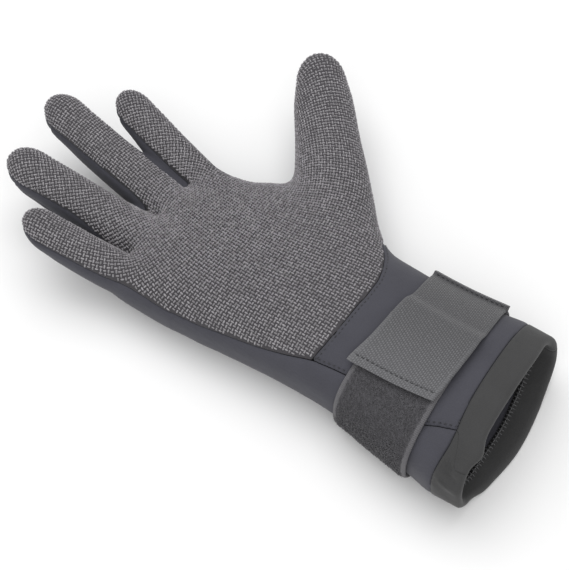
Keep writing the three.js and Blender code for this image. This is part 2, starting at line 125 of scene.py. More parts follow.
class Tube:
    """A finger or thumb: a straight heading in plan whose tip curls up out of the palm."""

    def __init__(self, name, root, heading, length, rows, width, depth, rise, curl):
        self.name, self.length, self.rows = name, length, rows
        self.width, self.depth, self.rise, self.curl = width, depth, rise, curl
        self.root = np.array(root)
        turn = math.radians(heading)
        self.forward = np.array([math.sin(turn), math.cos(turn)])
        self.across = np.array([math.cos(turn), -math.sin(turn)])

    def places(self, points):
        """Distance along the tube, distance to its side, and both half sizes there."""
        flat = points[:, :2] - self.root[:2]
        along = flat @ self.forward
        share = np.clip(along / self.length, self.rows[0, 0], 1.0)
        half_width = smooth_rows(self.rows, share, 1) * self.width / 2
        half_depth = smooth_rows(self.rows, share, 2) * self.depth / 2
        return along, flat @ self.across, half_width, half_depth

    def height(self, along):
        """Height of the tube's middle line."""
        share = np.clip(along / self.length, 0.0, 1.0)
        return self.root[2] + self.rise * share ** self.curl

    def distance(self, points):
        """Rough distance of points from the tube's face, negative inside."""
        along, aside, half_width, half_depth = self.places(points)
        share = np.clip(along / self.length, 0.0, 1.0)
        slope = self.rise * self.curl * share ** (self.curl - 1) / self.length
        up = (points[:, 2] - self.height(along)) / np.sqrt(1 + slope ** 2)
        tip = TIP_LENGTH * smooth_rows(self.rows, np.array([1.0]), 1)[0] * self.width
        past = np.maximum(along - (self.length - tip), 0.0)
        reach = oval_reach(aside, up, half_width, half_depth, FINGER_POWER)
        reach = np.sqrt(reach ** 2 + (past / tip) ** 2)
        radius = np.sqrt(aside ** 2 + up ** 2 + past ** 2)
        start = self.rows[0, 0] * self.length - along
        return np.maximum(radius * (1 - 1 / np.maximum(reach, 1e-6)), start)


def smooth_rows(rows, at, column):
    """A column of a table at the places given, on a smooth curve through its rows."""
    x, y = rows[:, 0], rows[:, column]
    steps = np.diff(y) / np.diff(x)
    slopes = np.zeros(len(x))
    same = steps[:-1] * steps[1:] > 0
    slopes[1:-1][same] = 2 * steps[:-1][same] * steps[1:][same] / (steps[:-1] + steps[1:])[same]
    at = np.clip(at, x[0], x[-1])
    i = np.clip(np.searchsorted(x, at, side="right") - 1, 0, len(x) - 2)
    width = x[i + 1] - x[i]
    t = (at - x[i]) / width
    return ((2 * t ** 3 - 3 * t ** 2 + 1) * y[i] + (t ** 3 - 2 * t ** 2 + t) * width * slopes[i]
            + (3 * t ** 2 - 2 * t ** 3) * y[i + 1] + (t ** 3 - t ** 2) * width * slopes[i + 1])


def smooth_step(value, start, end):
    """0 before start, 1 past end, and a smooth way between."""
    t = np.clip((value - start) / (end - start), 0.0, 1.0)
    return t * t * (3 - 2 * t)


def bump(value, middle, spread):
    """1 at the middle, fading to nothing on both sides."""
    return np.exp(-((value - middle) / spread) ** 2)


def unit(vectors):
    """Vectors made one long."""
    return vectors / np.maximum(np.linalg.norm(vectors, axis=-1, keepdims=True), 1e-6)


def oval_reach(x, z, half_width, half_depth, power):
    """1 on a superellipse, below 1 inside it."""
    return (np.abs(x / half_width) ** power + np.abs(z / half_depth) ** power) ** (1 / power)


def soft_union(a, b, blend):
    """The union of two forms whose meeting is filled to a fillet."""
    share = np.clip(0.5 + 0.5 * (b - a) / blend, 0.0, 1.0)
    return b * (1 - share) + a * share - blend * share * (1 - share)


FINGERS = [
    Tube(name, (x * PALM_WIDTH, CUFF_LENGTH + y * PALM_LENGTH, 0.47 * PALM_DEPTH), heading,
         length, FINGER_ROWS, width, width, 19.0, 1.5)
    for name, length, width, x, y, heading in [
        ("little", 60.0, 20.0, -0.360, 0.955, -8.0),
        ("ring", 83.0, 24.0, -0.090, 1.000, -4.5),
        ("middle", 88.0, 23.5, 0.180, 1.000, 6.5),
        ("index", 65.0, 20.5, 0.430, 0.950, 11.0),
    ]
]
THUMB = Tube("thumb", (0.29 * PALM_WIDTH, CUFF_LENGTH + 0.15 * PALM_LENGTH, 0.52 * PALM_DEPTH),
             52.0, 133.0, THUMB_ROWS, 34.0, 29.0, 16.0, 1.3)


def body_section(y):
    """Width, top, half depth, middle, slant and floor of the cuff and palm at distances y."""
    cuff_at, palm_at = y / CUFF_LENGTH, (y - CUFF_LENGTH) / PALM_LENGTH
    flare = smooth_rows(CUFF_ROWS, cuff_at, 1)
    on_cuff = y <= CUFF_LENGTH
    outside = np.maximum(np.maximum(STRAP_START - y, y - STRAP_END), 0.0)
    top = np.where(on_cuff, WRIST_DEPTH + (CUFF_DEPTH - WRIST_DEPTH) * flare,
                   smooth_rows(PALM_ROWS, palm_at, 3) * PALM_DEPTH)
    bottom = smooth_rows(PALM_ROWS, palm_at, 4) * PALM_DEPTH
    return {
        "width": np.where(on_cuff, WRIST_WIDTH + (CUFF_WIDTH - WRIST_WIDTH) * flare,
                          smooth_rows(PALM_ROWS, palm_at, 1) * PALM_WIDTH),
        "top": top,
        "half_depth": (top - bottom + SOLE) / 2,
        "middle": PALM_WIDTH * np.where(on_cuff, smooth_rows(CUFF_ROWS, cuff_at, 2),
                                        smooth_rows(PALM_ROWS, palm_at, 2)),
        "slant": smooth_rows(CUFF_ROWS, cuff_at, 3),
        "floor": STRAP_LIFT * smooth_step(outside, STRAP_EASE, 0.0),
    }


def rim_shift(section, x, z):
    """How far the slanted rim stands out past the plain cuff. It sags on the back's middle."""
    low = 1 - z / section["top"]
    aside = x - section["middle"]
    reach = np.where(aside > 0, SAG_TO_THUMB, SAG_TO_LITTLE)
    sag = RIM_SAG * (0.5 + 0.5 * np.cos(math.pi * np.clip(aside / reach, -1.0, 1.0)))
    short = RIM_SHORT * smooth_step(-aside, SHORT_START, SHORT_END)
    return section["slant"] * (RIM_SLANT * low + (sag - short) * low ** 2)


def oval_power(up):
    """The superellipse's power above and below the middle of the cuff and palm."""
    return np.where(up > 0, UPPER_POWER, LOWER_POWER)


def cuff_place(points):
    """Distance of points from the slanted rim, measured along the cuff."""
    section = body_section(points[:, 1])
    return points[:, 1] + rim_shift(section, points[:, 0], points[:, 2])


def body_distance(points):
    """Rough distance of points from the face of the cuff and palm, negative inside."""
    section = body_section(cuff_place(points))
    x = points[:, 0] - section["middle"]
    z = points[:, 2] - (section["top"] - section["half_depth"])
    reach = oval_reach(x, z, section["width"] / 2, section["half_depth"], oval_power(z))
    oval = np.hypot(x, z) * (1 - 1 / np.maximum(reach, 1e-6))
    end = points[:, 1] - (CUFF_LENGTH + PALM_ROWS[-1, 0] * PALM_LENGTH)
    cut = -soft_union(-oval, points[:, 2] - section["floor"], SOLE_BLEND)
    return np.maximum(cut, end)


def hand_distance(points):
    """Rough distance of points from the glove's outer face, negative inside."""
    fingers = FINGERS[0].distance(points)
    for finger in FINGERS[1:]:
        fingers = soft_union(fingers, finger.distance(points), WEB_BLEND)
    hand = soft_union(body_distance(points), fingers, BODY_BLEND)
    hand = soft_union(hand, THUMB.distance(points), THUMB_BLEND)
    return np.maximum(hand, -points[:, 2])


def body_point(y, turn, offset):
    """Points of the cuff at distances y from the rim, turned round it and offset outwards."""
    y, turn, offset = np.broadcast_arrays(*(np.asarray(v, float) for v in (y, turn, offset)))
    section = body_section(y)
    cos, sin = np.cos(turn), np.sin(turn)
    power = 2 / oval_power(sin)
    x = (section["width"] / 2 + offset) * np.sign(cos) * np.abs(cos) ** power
    up = (section["half_depth"] + offset) * np.sign(sin) * np.abs(sin) ** power
    z = np.maximum(section["top"] - section["half_depth"] + up, section["floor"] - offset)
    x = section["middle"] + x
    return np.stack([x, y - rim_shift(section, x, z), z], axis=-1)


# ---- Where the panels are sewn together ----------------------------------------------------

# Side seams of the palm: share of PALM_LENGTH, heights on the little finger's and thumb's side.
SIDE_SEAM = np.array([
    (-0.80, 1.160, 0.50),
    (-0.66, 1.115, 0.50),
    (-0.59, 1.063, 0.51),
    (-0.52, 0.992, 0.51),
    (-0.30, 0.960, 0.52),
    (0.00, 0.89, 0.55),
    (0.15, 0.80, 0.60),
    (0.40, 0.70, 0.62),
    (0.75, 0.62, 0.60),
    (0.93, 0.64, 0.64),
])
# Finger seams: share of its length, heights over its middle as shares of its half depth.
FINGER_SEAMS = np.array([
    (0.00, 0.56, -0.50),
    (0.50, 0.50, -0.50),
    (0.85, 0.28, -0.40),
    (1.00, 0.05, -0.30),
])
# Wrist seam: x as a share of PALM_WIDTH, rise past CUFF_LENGTH as a share of PALM_LENGTH.
WRIST_SEAM = np.array([
    (-0.60, 0.050),
    (-0.36, 0.032),
    (-0.20, 0.008),
    (-0.05, -0.006),
    (0.08, -0.013),
    (0.17, -0.020),
    (0.27, -0.020),
    (0.34, -0.011),
    (0.41, 0.007),
    (0.48, 0.030),
    (0.62, 0.090),
])
# Webs from the little finger's on: how far the palm seam drops in each, and up to which share
# of the finger's length. WEB_REACH is how wide the drop is.
WEB_DROPS = ((5.5, 0.75), (2.4, 0.30), (0.0, 0.30))
WEB_REACH = 6.0
WRIST_SEAM_SLOPE = 0.5                 # how steeply it rises past the last row
SIDE_SEAM_STOP, FINGER_SEAM_START = 12.0, 6.0   # before and past the fingers' roots
SEAM_SHARING = 3.0                     # how softly neighbouring fingers share a seam's height
# Strips: shares of the fingers' length where they narrow and end, of the finger's width that
# they keep clear there, and of PALM_LENGTH by which they reach into the palm.
STRIP_STOP, STRIP_END, STRIP_CLEAR, STRIP_START = 0.80, 0.94, 0.6, 0.30
THUMB_FRONT_START, THUMB_FRONT_REACH = 0.25, 0.8


def finger_seam(points, column):
    """Height of a finger seam over the table, shared between fingers by how near they are."""
    total, weights = np.zeros(len(points)), np.zeros(len(points))
    for finger in FINGERS:
        along, aside, _, half_depth = finger.places(points)
        share = np.clip(along / finger.length, 0.0, 1.0)
        height = finger.height(along) + half_depth * smooth_rows(FINGER_SEAMS, share, column)
        weight = 1 / (aside ** 2 + SEAM_SHARING ** 2) ** 2
        total += weight * height
        weights += weight
    return total / weights


def side_seam(points):
    """Height of the palm's side seams, from the little finger's side to the thumb's."""
    at = (points[:, 1] - CUFF_LENGTH) / PALM_LENGTH
    low, high = FINGERS[0].root[0], FINGERS[-1].root[0]
    to_thumb = np.clip((points[:, 0] - low) / (high - low), 0.0, 1.0)
    little, thumb = smooth_rows(SIDE_SEAM, at, 1), smooth_rows(SIDE_SEAM, at, 2)
    return (little + (thumb - little) * to_thumb) * PALM_DEPTH


def web_drop(points):
    """How much lower the palm seam runs in the webs between neighbouring fingers."""
    drop = np.zeros(len(points))
    for (depth, until), lower, upper in zip(WEB_DROPS, FINGERS, FINGERS[1:]):
        along, from_lower, _, _ = lower.places(points)
        from_upper = upper.places(points)[1]
        fade = smooth_step(along / lower.length, until, until / 3)
        drop += depth * fade * bump((from_lower + from_upper) / 2, 0.0, WEB_REACH)
    return drop


def above_palm_seam(points):
    """How far points stand above the seam round the palm side."""
    to_fingers = smooth_step(points[:, 1], WEB_LINE - SIDE_SEAM_STOP,
                             WEB_LINE + FINGER_SEAM_START)
    seam = side_seam(points) * (1 - to_fingers) + finger_seam(points, 1) * to_fingers
    return points[:, 2] - seam + web_drop(points)


def above_back_seam(points):
    """How far points stand above the seam along the backs of the fingers."""
    return points[:, 2] - finger_seam(points, 2)


def on_thumb_front(points):
    """Positive on the palm side of the thumb."""
    along, aside, _, _ = THUMB.places(points)
    above = points[:, 2] - THUMB.height(along)
    return np.minimum(np.minimum(above, along - THUMB_FRONT_START * THUMB.length),
                      THUMB.width * THUMB_FRONT_REACH - np.abs(aside))


def past_wrist_seam(points):
    """How far points lie past the wrist seam, towards the fingers."""
    x, rise = WRIST_SEAM[:, 0] * PALM_WIDTH, CUFF_LENGTH + WRIST_SEAM[:, 1] * PALM_LENGTH
    beyond = np.maximum(points[:, 0] - x[-1], 0.0) * WRIST_SEAM_SLOPE
    curve = np.column_stack([x, rise])
    return points[:, 1] - smooth_rows(curve, points[:, 0], 1) - beyond


def polygon_distance(points, corners):
    """Distance of points in plan from an outline, positive inside it."""
    best = np.full(len(points), np.inf)
    inside = np.zeros(len(points), bool)
    for (ax, ay), (bx, by) in zip(corners, np.roll(corners, -1, axis=0)):
        px, py, ex, ey = points[:, 0] - ax, points[:, 1] - ay, bx - ax, by - ay
        t = np.clip((px * ex + py * ey) / (ex * ex + ey * ey), 0.0, 1.0)
        best = np.minimum(best, np.hypot(px - t * ex, py - t * ey))
        crosses = (ay > points[:, 1]) != (by > points[:, 1])
        if ay != by:
            inside ^= crosses & (px < ex * py / ey)
    return np.where(inside, best, -best)


def strip_outline(lower, upper):
    """The plan outline of the strip between two neighbouring fingers."""
    def middle(tube, y):
        return tube.root[0] + tube.forward[0] * (y - tube.root[1]) / tube.forward[1]

    start = WEB_LINE - STRIP_START * PALM_LENGTH
    low_stop, up_stop = (t.root[1] + STRIP_STOP * t.length for t in (lower, upper))
    low_end, up_end = (t.root[1] + STRIP_END * t.length for t in (lower, upper))
    return np.array([
        (middle(lower, start), start),
        (middle(upper, start), start),
        (middle(upper, up_stop), up_stop),
        (middle(upper, up_end) - upper.width * STRIP_CLEAR, up_end),
        (middle(lower, low_end) + lower.width * STRIP_CLEAR, low_end),
        (middle(lower, low_stop), low_stop),
    ])


def strip_field(points, index):
    """Positive on the strip between a finger and the next one."""
    plan = polygon_distance(points, strip_outline(FINGERS[index], FINGERS[index + 1]))
    return np.minimum(np.minimum(above_back_seam(points), -above_palm_seam(points)), plan)


def palm_field(points):
    """Positive on the grip fabric."""
    return np.minimum(np.maximum(above_palm_seam(points), on_thumb_front(points)),
                      past_wrist_seam(points))


def wrist_field(points):
    """Positive on the plain palm side of the cuff."""
    return np.minimum(above_palm_seam(points), -past_wrist_seam(points))


def back_field(points):
    """Positive on the back panel, which is all that the other panels leave."""
    taken = np.maximum(palm_field(points), wrist_field(points))
    for index in range(len(FINGERS) - 1):
        taken = np.maximum(taken, strip_field(points, index))
    return -taken


# ---- The outer face as a mesh --------------------------------------------------------------

GRID_LOW, GRID_HIGH = np.array([-60.0, -8.0, -4.0]), np.array([142.0, 300.0, 62.0])
SETTLE_ROUNDS = 3                      # how often the mesh's points are drawn to the form
SEAM_DIP, SEAM_SOFTNESS = 0.7, 1.3     # how deep and how wide the cloth dips into a seam


def surface_net(values, origin, step):
    """Points and four-sided faces of the surface where a grid of values changes sign."""
    cells = tuple(n - 1 for n in values.shape)
    sums, counts = np.zeros(cells + (3,)), np.zeros(cells)
    faces = []
    for axis in range(3):
        low = np.take(values, range(values.shape[axis] - 1), axis)
        high = np.take(values, range(1, values.shape[axis]), axis)
        at = np.argwhere((low < 0) != (high < 0))
        a, b = low[tuple(at.T)], high[tuple(at.T)]
        crossing = at.astype(float)
        crossing[:, axis] += a / (a - b)
        others = [i for i in range(3) if i != axis]
        inner = np.ones(len(at), bool)
        for other in others:
            inner &= (at[:, other] > 0) & (at[:, other] < cells[other])
        at, crossing, rising = at[inner], crossing[inner], (a < 0)[inner]
        corners = []
        for first, second in ((1, 1), (0, 1), (0, 0), (1, 0)):
            cell = at.copy()
            cell[:, others[0]] -= first
            cell[:, others[1]] -= second
            np.add.at(sums, tuple(cell.T), crossing)
            np.add.at(counts, tuple(cell.T), 1)
            corners.append(np.ravel_multi_index(tuple(cell.T), cells))
        quads = np.stack(corners, axis=1)
        turned = rising if axis != 1 else ~rising
        faces.append(np.where(turned[:, None], quads, quads[:, ::-1]))
    used = np.flatnonzero(counts.ravel())
    index = np.full(counts.size, -1)
    index[used] = np.arange(len(used))
    points = sums.reshape(-1, 3)[used] / counts.ravel()[used, None]
    return origin + points * step, index[np.concatenate(faces)]


def gradient(field, points, step=0.2):
    """How a field grows along x, y and z at points."""
    parts = []
    for axis in np.eye(3) * step:
        parts.append((field(points + axis) - field(points - axis)) / (2 * step))
    return np.stack(parts, axis=1)


@functools.lru_cache(maxsize=None)
def outer_face(step):
    """Points and triangles of the glove's whole outer face, from the hem on."""
    axes = [np.arange(a, b, step) for a, b in zip(GRID_LOW, GRID_HIGH)]
    grid = np.stack(np.meshgrid(*axes, indexing="ij"), axis=-1)
    values = np.empty(grid.shape[:3])
    for i, sheet in enumerate(grid):
        values[i] = hand_distance(sheet.reshape(-1, 3)).reshape(sheet.shape[:2])
    points, quads = surface_net(values, GRID_LOW, step)
    for _ in range(SETTLE_ROUNDS):
        slope = gradient(hand_distance, points)
        size = np.maximum((slope ** 2).sum(axis=1), 0.05)
        move = (hand_distance(points) / size)[:, None] * slope
        points = points - np.clip(move, -step, step)
    points[:, 2] = np.maximum(points[:, 2], 0.0)
    triangles = np.concatenate([quads[:, [0, 1, 2]], quads[:, [0, 2, 3]]])
    return points, triangles


def clip_mesh(points, triangles, values, level):
    """The part of a triangle mesh where values, one for each point, are above a level."""
    values = np.where(np.abs(values - level) < 1e-4, 1e-4, values - level)
    kept = values > 0
    count = kept[triangles].sum(axis=1)
    whole = triangles[count == 3]
    edges = {}
    added = []

    def crossing(a, b):
        key = (min(a, b), max(a, b))
        if key not in edges:
            t = values[a] / (values[a] - values[b])
            edges[key] = len(points) + len(added)
            added.append(points[a] + (points[b] - points[a]) * t)
        return edges[key]

    cut = []
    for triangle in triangles[(count == 1) | (count == 2)]:
        inside = kept[triangle]
        lone = int(np.argmax(inside if inside.sum() == 1 else ~inside))
        a, b, c = (int(v) for v in np.roll(triangle, -lone))
        ab, ac = crossing(a, b), crossing(a, c)
        if inside.sum() == 1:
            cut.append((a, ab, ac))
        else:
            cut.extend([(ab, b, c), (ab, c, ac)])
    faces = np.concatenate([whole, np.array(cut, int).reshape(-1, 3)])
    every = np.concatenate([points, np.array(added).reshape(-1, 3)])
    used, faces = np.unique(faces, return_inverse=True)
    return every[used], faces.reshape(-1, 3)


def hem_reach(turn):
    """How far the hem runs from the rim. It is drawn in at the little finger's side seam."""
    return HEM_LENGTH - 2.2 * bump(turn, DRAWN_TURN, 0.38)


def past_hem(points):
    """How far points lie past the hem's edge, towards the fingers."""
    place = cuff_place(points)
    section = body_section(place)
    x = (points[:, 0] - section["middle"]) / (section["width"] / 2)
    z = (points[:, 2] - section["top"]) / section["half_depth"] + 1
    power = oval_power(z) / 2
    turn = np.arctan2(np.sign(z) * np.abs(z) ** power, np.sign(x) * np.abs(x) ** power)
    return place - hem_reach(turn)


def sewn_panel(field, step):
    """The outer face of one panel, whose edges dip into their seams."""
    points, triangles = outer_face(step)
    points, triangles = clip_mesh(points, triangles, field(points), SEAM_GAP / 2)
    points, triangles = clip_mesh(points, triangles, past_hem(points), SEAM_GAP)
    slope = unit(gradient(hand_distance, points))
    from_seam = np.minimum(np.abs(field(points)), np.abs(past_hem(points)))
    dip = SEAM_DIP * bump(from_seam, 0.0, SEAM_SOFTNESS)
    points = points - slope * dip[:, None] * smooth_step(points[:, 2], 0.0, 2.0)[:, None]
    return points, triangles


# ---- Meshes, node trees and materials ------------------------------------------------------

MILLIMETRES = 1000.0                   # in a metre
HALF_STRAP = STRAP_WIDTH / 2 / MILLIMETRES


def shade_smooth(mesh):
    """Shades all of a mesh's faces smooth."""
    mesh.polygons.foreach_set("use_smooth", np.ones(len(mesh.polygons), bool))
    mesh.update()


def vertex_places(mesh):
    """The places of a mesh's points, in metres."""
    places = np.empty(len(mesh.vertices) * 3)
    mesh.vertices.foreach_get("co", places)
    return places.reshape(-1, 3)


def corner_vertices(mesh):
    """Which point each corner of a mesh's faces lies on."""
    corners = np.empty(len(mesh.loops), int)
    mesh.loops.foreach_get("vertex_index", corners)
    return corners


def link_object(name, data):
    """An object in the scene, from a mesh, a light or a camera."""
    thing = bpy.data.objects.new(name, data)
    bpy.context.scene.collection.objects.link(thing)
    return thing


def make_object(name, points, faces, material, uvs=None):
    """A mesh object from points in the hand's millimetres, placed in the frame in metres."""
    mesh = bpy.data.meshes.new(name)
    faces = faces.tolist() if isinstance(faces, np.ndarray) else faces
    mesh.from_pydata((np.asarray(points) - FRAME_ORIGIN) / MILLIMETRES, [], faces)
    mesh.validate()
    if uvs is not None:
        layer = mesh.uv_layers.new(name="cloth")
        layer.data.foreach_set("uv", np.asarray(uvs, float)[corner_vertices(mesh)].ravel())
    mesh.materials.append(material)
    shade_smooth(mesh)
    return link_object(name, mesh)


def tidy_mesh(piece, distance):
    """Merges points that all but coincide, and drops what that leaves empty."""
    work = bmesh.new()
    work.from_mesh(piece.data)
    bmesh.ops.remove_doubles(work, verts=work.verts, dist=distance)
    bmesh.ops.dissolve_degenerate(work, edges=work.edges, dist=distance / 4)
    loose = [v for v in work.verts if not v.link_faces]
    bmesh.ops.delete(work, geom=loose, context="VERTS")
    bmesh.ops.triangulate(work, faces=work.faces)
    work.to_mesh(piece.data)
    work.free()
    shade_smooth(piece.data)


def face_outwards(piece):
    """Turns a closed piece's faces so that they all point outwards."""
    work = bmesh.new()
    work.from_mesh(piece.data)
    bmesh.ops.recalc_face_normals(work, faces=work.faces)
    work.to_mesh(piece.data)
    work.free()


def ring_faces(rows, sides):
    """The faces between closed rings of points, one ring after another."""
    faces = []
    for row in range(rows - 1):
        here, ahead = row * sides, (row + 1) * sides
        for side in range(sides):
            after = (side + 1) % sides
            faces.append((here + side, here + after, ahead + after, ahead + side))
    return faces


def thicken(piece, thickness):
    """Gives a sheet its thickness, inwards from its outer face."""
    solid = piece.modifiers.new("Cloth thickness", "SOLIDIFY")
    solid.thickness = thickness
    solid.offset = -1.0
    solid.use_rim = True
    bake_modifiers(piece)


def bake_modifiers(piece):
    """Replaces a piece's mesh by what its modifiers make of it."""
    depsgraph = bpy.context.evaluated_depsgraph_get()
    result = bpy.data.meshes.new_from_object(piece.evaluated_get(depsgraph),
                                             preserve_all_data_layers=True, depsgraph=depsgraph)
    piece.modifiers.clear()
    piece.data = result


def run_nodes(piece, tree, values):
    """Runs a geometry node tree on a piece with named inputs, and keeps its plain mesh."""
    modifier = piece.modifiers.new(tree.name, "NODES")
    modifier.node_group = tree
    for socket in tree.interface.items_tree:
        if socket.in_out == "INPUT" and socket.name in values:
            modifier[socket.identifier] = values[socket.name]
    bake_modifiers(piece)


def set_attribute(piece, name, kind, values):
    """Stores a named attribute on a piece's points."""
    attribute = piece.data.attributes.new(name, kind, "POINT")
    key = "vector" if kind == "FLOAT_VECTOR" else "value"
    attribute.data.foreach_set(key, np.asarray(values, float).ravel())


class TreeBuilder:
    """Adds linked nodes to a node tree."""

    def __init__(self, tree):
        self.tree = tree

    def add(self, kind, inputs=None, **settings):
        """A node with its settings and its inputs, given as values or as other sockets."""
        node = self.tree.nodes.new(kind)
        for name, value in settings.items():
            setattr(node, name, value)
        for key, value in (inputs or {}).items():
            socket = node.inputs[key]
            if isinstance(value, bpy.types.NodeSocket):
                self.tree.links.new(value, socket)
            else:
                socket.default_value = value
        return node

    def math(self, operation, first, second=0.0, third=0.0):
        """One sum on numbers."""
        return self.add("ShaderNodeMath", {0: first, 1: second, 2: third},
                        operation=operation).outputs[0]

    def vector(self, operation, first, second=(0.0, 0.0, 0.0)):
        """One sum on vectors."""
        return self.add("ShaderNodeVectorMath", {0: first, 1: second},
                        operation=operation).outputs[0]

    def scaled(self, vector, factor):
        """A vector times a number."""
        return self.add("ShaderNodeVectorMath", {0: vector, "Scale": factor},
                        operation="SCALE").outputs[0]

    def named(self, name, kind="FLOAT_VECTOR"):
        """A named attribute of the geometry."""
        return self.add("GeometryNodeInputNamedAttribute", {"Name": name},
                        data_type=kind).outputs["Attribute"]

    def store(self, geometry, name, kind, value, domain="POINT"):
        """Geometry with a value stored on it as a named attribute."""
        return self.add("GeometryNodeStoreNamedAttribute", {
            "Geometry": geometry, "Name": name, "Value": value,
        }, data_type=kind, domain=domain).outputs[0]

    def random(self, low, high, seed):
        """A number between two, drawn anew for each point."""
        return self.add("FunctionNodeRandomValue", {2: low, 3: high, "Seed": seed},
                        data_type="FLOAT").outputs[1]

    def random_vector(self, low, high, seed):
        """A vector between two, drawn anew for each point."""
        return self.add("FunctionNodeRandomValue", {0: low, 1: high, "Seed": seed},
                        data_type="FLOAT_VECTOR").outputs[0]

    def shape(self, thing):
        """The mesh of another object."""
        return self.add("GeometryNodeObjectInfo", {"Object": thing}).outputs["Geometry"]

    def aligned(self, upright, along):
        """A rotation that stands a shape up and turns it to run along a direction."""
        stood = self.add("FunctionNodeAlignRotationToVector", {"Vector": upright}, axis="Z")
        return self.add("FunctionNodeAlignRotationToVector", {
            "Rotation": stood.outputs[0], "Vector": along,
        }, axis="X", pivot_axis="Z").outputs[0]

    def turned(self, rotation, euler):
        """A rotation turned further about its own axes."""
        further = self.add("FunctionNodeEulerToRotation", {0: euler}).outputs[0]
        return self.add("FunctionNodeRotateRotation", {
            "Rotation": rotation, "Rotate By": further,
        }, rotation_space="LOCAL").outputs[0]

    def object_place(self):
        """Places on the object, in metres."""
        return self.add("ShaderNodeTexCoord").outputs["Object"]

    def cloth_place(self):
        """Places on the cloth laid out flat, in metres."""
        return self.add("ShaderNodeUVMap", uv_map="cloth").outputs["UV"]

    def noise(self, place, scale, detail=2.0, roughness=0.5):
        """Noise from 0 to 1 at a scale."""
        return self.add("ShaderNodeTexNoise", {
            "Vector": place, "Scale": scale, "Detail": detail, "Roughness": roughness,
        }).outputs["Fac"]

    def ribs(self, along, pitch):
        """Ribs from 0.25 to 0.75 across a direction, a pitch apart in metres."""
        wave = self.math("SINE", self.math("MULTIPLY", along, 2 * math.pi / pitch))
        return self.math("MULTIPLY_ADD", wave, 0.25, 0.5)

    def mixed(self, factor, first, second):
        """A number between two."""
        return self.add("ShaderNodeMix", {0: factor, 2: first, 3: second}).outputs[0]

    def mixed_colour(self, factor, first, second):
        """A colour between two."""
        return self.add("ShaderNodeMix", {0: factor, 6: first, 7: second},
                        data_type="RGBA").outputs[2]

    def shades(self, factor, colour, dark, light):
        """A shade of a colour between a darker and a lighter one."""
        return self.mixed_colour(factor, shade_of(colour, dark), shade_of(colour, light))

    def selvedge(self, across, start, end):
        """0 on a tape and 1 along its woven edges, between two distances from its edge."""
        middle = self.math("ABSOLUTE", self.math("SUBTRACT", across, HALF_STRAP))
        return self.add("ShaderNodeMapRange", {
            "Value": middle, "From Min": HALF_STRAP - start, "From Max": HALF_STRAP - end,
        }).outputs[0]


def geometry_tree(name, sockets):
    """An empty geometry node tree: its builder, its inputs by name, and its output node."""
    tree = bpy.data.node_groups.new(name, "GeometryNodeTree")
    tree.interface.new_socket("Geometry", in_out="INPUT", socket_type="NodeSocketGeometry")
    tree.interface.new_socket("Geometry", in_out="OUTPUT", socket_type="NodeSocketGeometry")
    for label, kind, default in [*sockets, ("Material", "Material", None)]:
        socket = tree.interface.new_socket(label, in_out="INPUT",
                                           socket_type=f"NodeSocket{kind}")
        if default is not None:
            socket.default_value = default
    build = TreeBuilder(tree)
    return build, build.add("NodeGroupInput").outputs, build.add("NodeGroupOutput")


def finish_tree(build, output, geometry, material):
    """Ends a tree: plain geometry, shaded smooth, in its material."""
    real = build.add("GeometryNodeRealizeInstances", {"Geometry": geometry}).outputs[0]
    smooth = build.add("GeometryNodeSetShadeSmooth", {"Geometry": real, "Shade Smooth": True})
    painted = build.add("GeometryNodeSetMaterial", {"Geometry": smooth.outputs[0],
                                                    "Material": material})
    build.tree.links.new(painted.outputs[0], output.inputs[0])
    return build.tree


def shade_of(colour, factor):
    """A colour made lighter or darker."""
    return (*(min(c * factor, 1.0) for c in colour[:3]), 1.0)


def new_material(name, colour, roughness, sheen_and_painted_light=0.0):
    """A material with a plain shader, and a builder for the nodes that give it detail."""
    material = bpy.data.materials.new(name)
    material.use_nodes = True
    material.diffuse_color = shade_of(colour, 1.0)
    build = TreeBuilder(material.node_tree)
    shader = next(n for n in material.node_tree.nodes if n.type == "BSDF_PRINCIPLED")
    shader.inputs["Base Color"].default_value = shade_of(colour, 1.0)
    shader.inputs["Roughness"].default_value = roughness
    shader.inputs["Specular IOR Level"].default_value = 0.25
    shader.inputs["Sheen Weight"].default_value = sheen_and_painted_light
    shader.inputs["Sheen Roughness"].default_value = 0.5
    return material, build, shader


def finish_material(build, shader, shades, height, distance, strength, below=None):
    """Gives a shader its colours, and bump from a height of 0 to 1 for a distance in metres."""
    inputs = {"Height": height, "Distance": distance, "Strength": strength}
    if below is not None:
        inputs["Normal"] = below
    normal = build.add("ShaderNodeBump", inputs).outputs[0]
    build.tree.links.new(shades, shader.inputs["Base Color"])
    build.tree.links.new(normal, shader.inputs["Normal"])


def foam_cloth_material(name, colour, knit):
    """Smooth jersey over foam rubber: a fine knit, faint mottling and soft sheen."""
    material, build, shader = new_material(name, colour, 0.86, sheen_and_painted_light=0.12)
    place = build.object_place()
    speck = build.noise(place, 1600.0, 1.0)
    mottle = build.math("MULTIPLY", build.noise(place, 60.0, 3.0), 0.5)
    both = build.math("MULTIPLY_ADD", speck, 0.5, mottle)
    tone = build.math("SMOOTH_MAX", build.math("MULTIPLY_ADD", both, 2.0, -0.5), 0.0, 0.1)
    ribs = build.add("ShaderNodeTexWave", {
        "Vector": place, "Scale": 2.0 / (knit * 6.2832), "Distortion": 1.5,
        "Detail": 1.0, "Detail Scale": 2.0,
    }, wave_type="BANDS", bands_direction="X").outputs["Fac"]
    folds = build.add("ShaderNodeBump", {
        "Height": build.noise(place, 120.0, 3.0), "Distance": 0.0006, "Strength": 0.6,
    }).outputs[0]
    height = build.math("MULTIPLY_ADD", speck, 0.6, build.math("MULTIPLY", ribs, 0.4))
    finish_material(build, shader, build.shades(tone, colour, 0.86, 1.14), height,
                    0.00012, 0.7, below=folds)
    return material


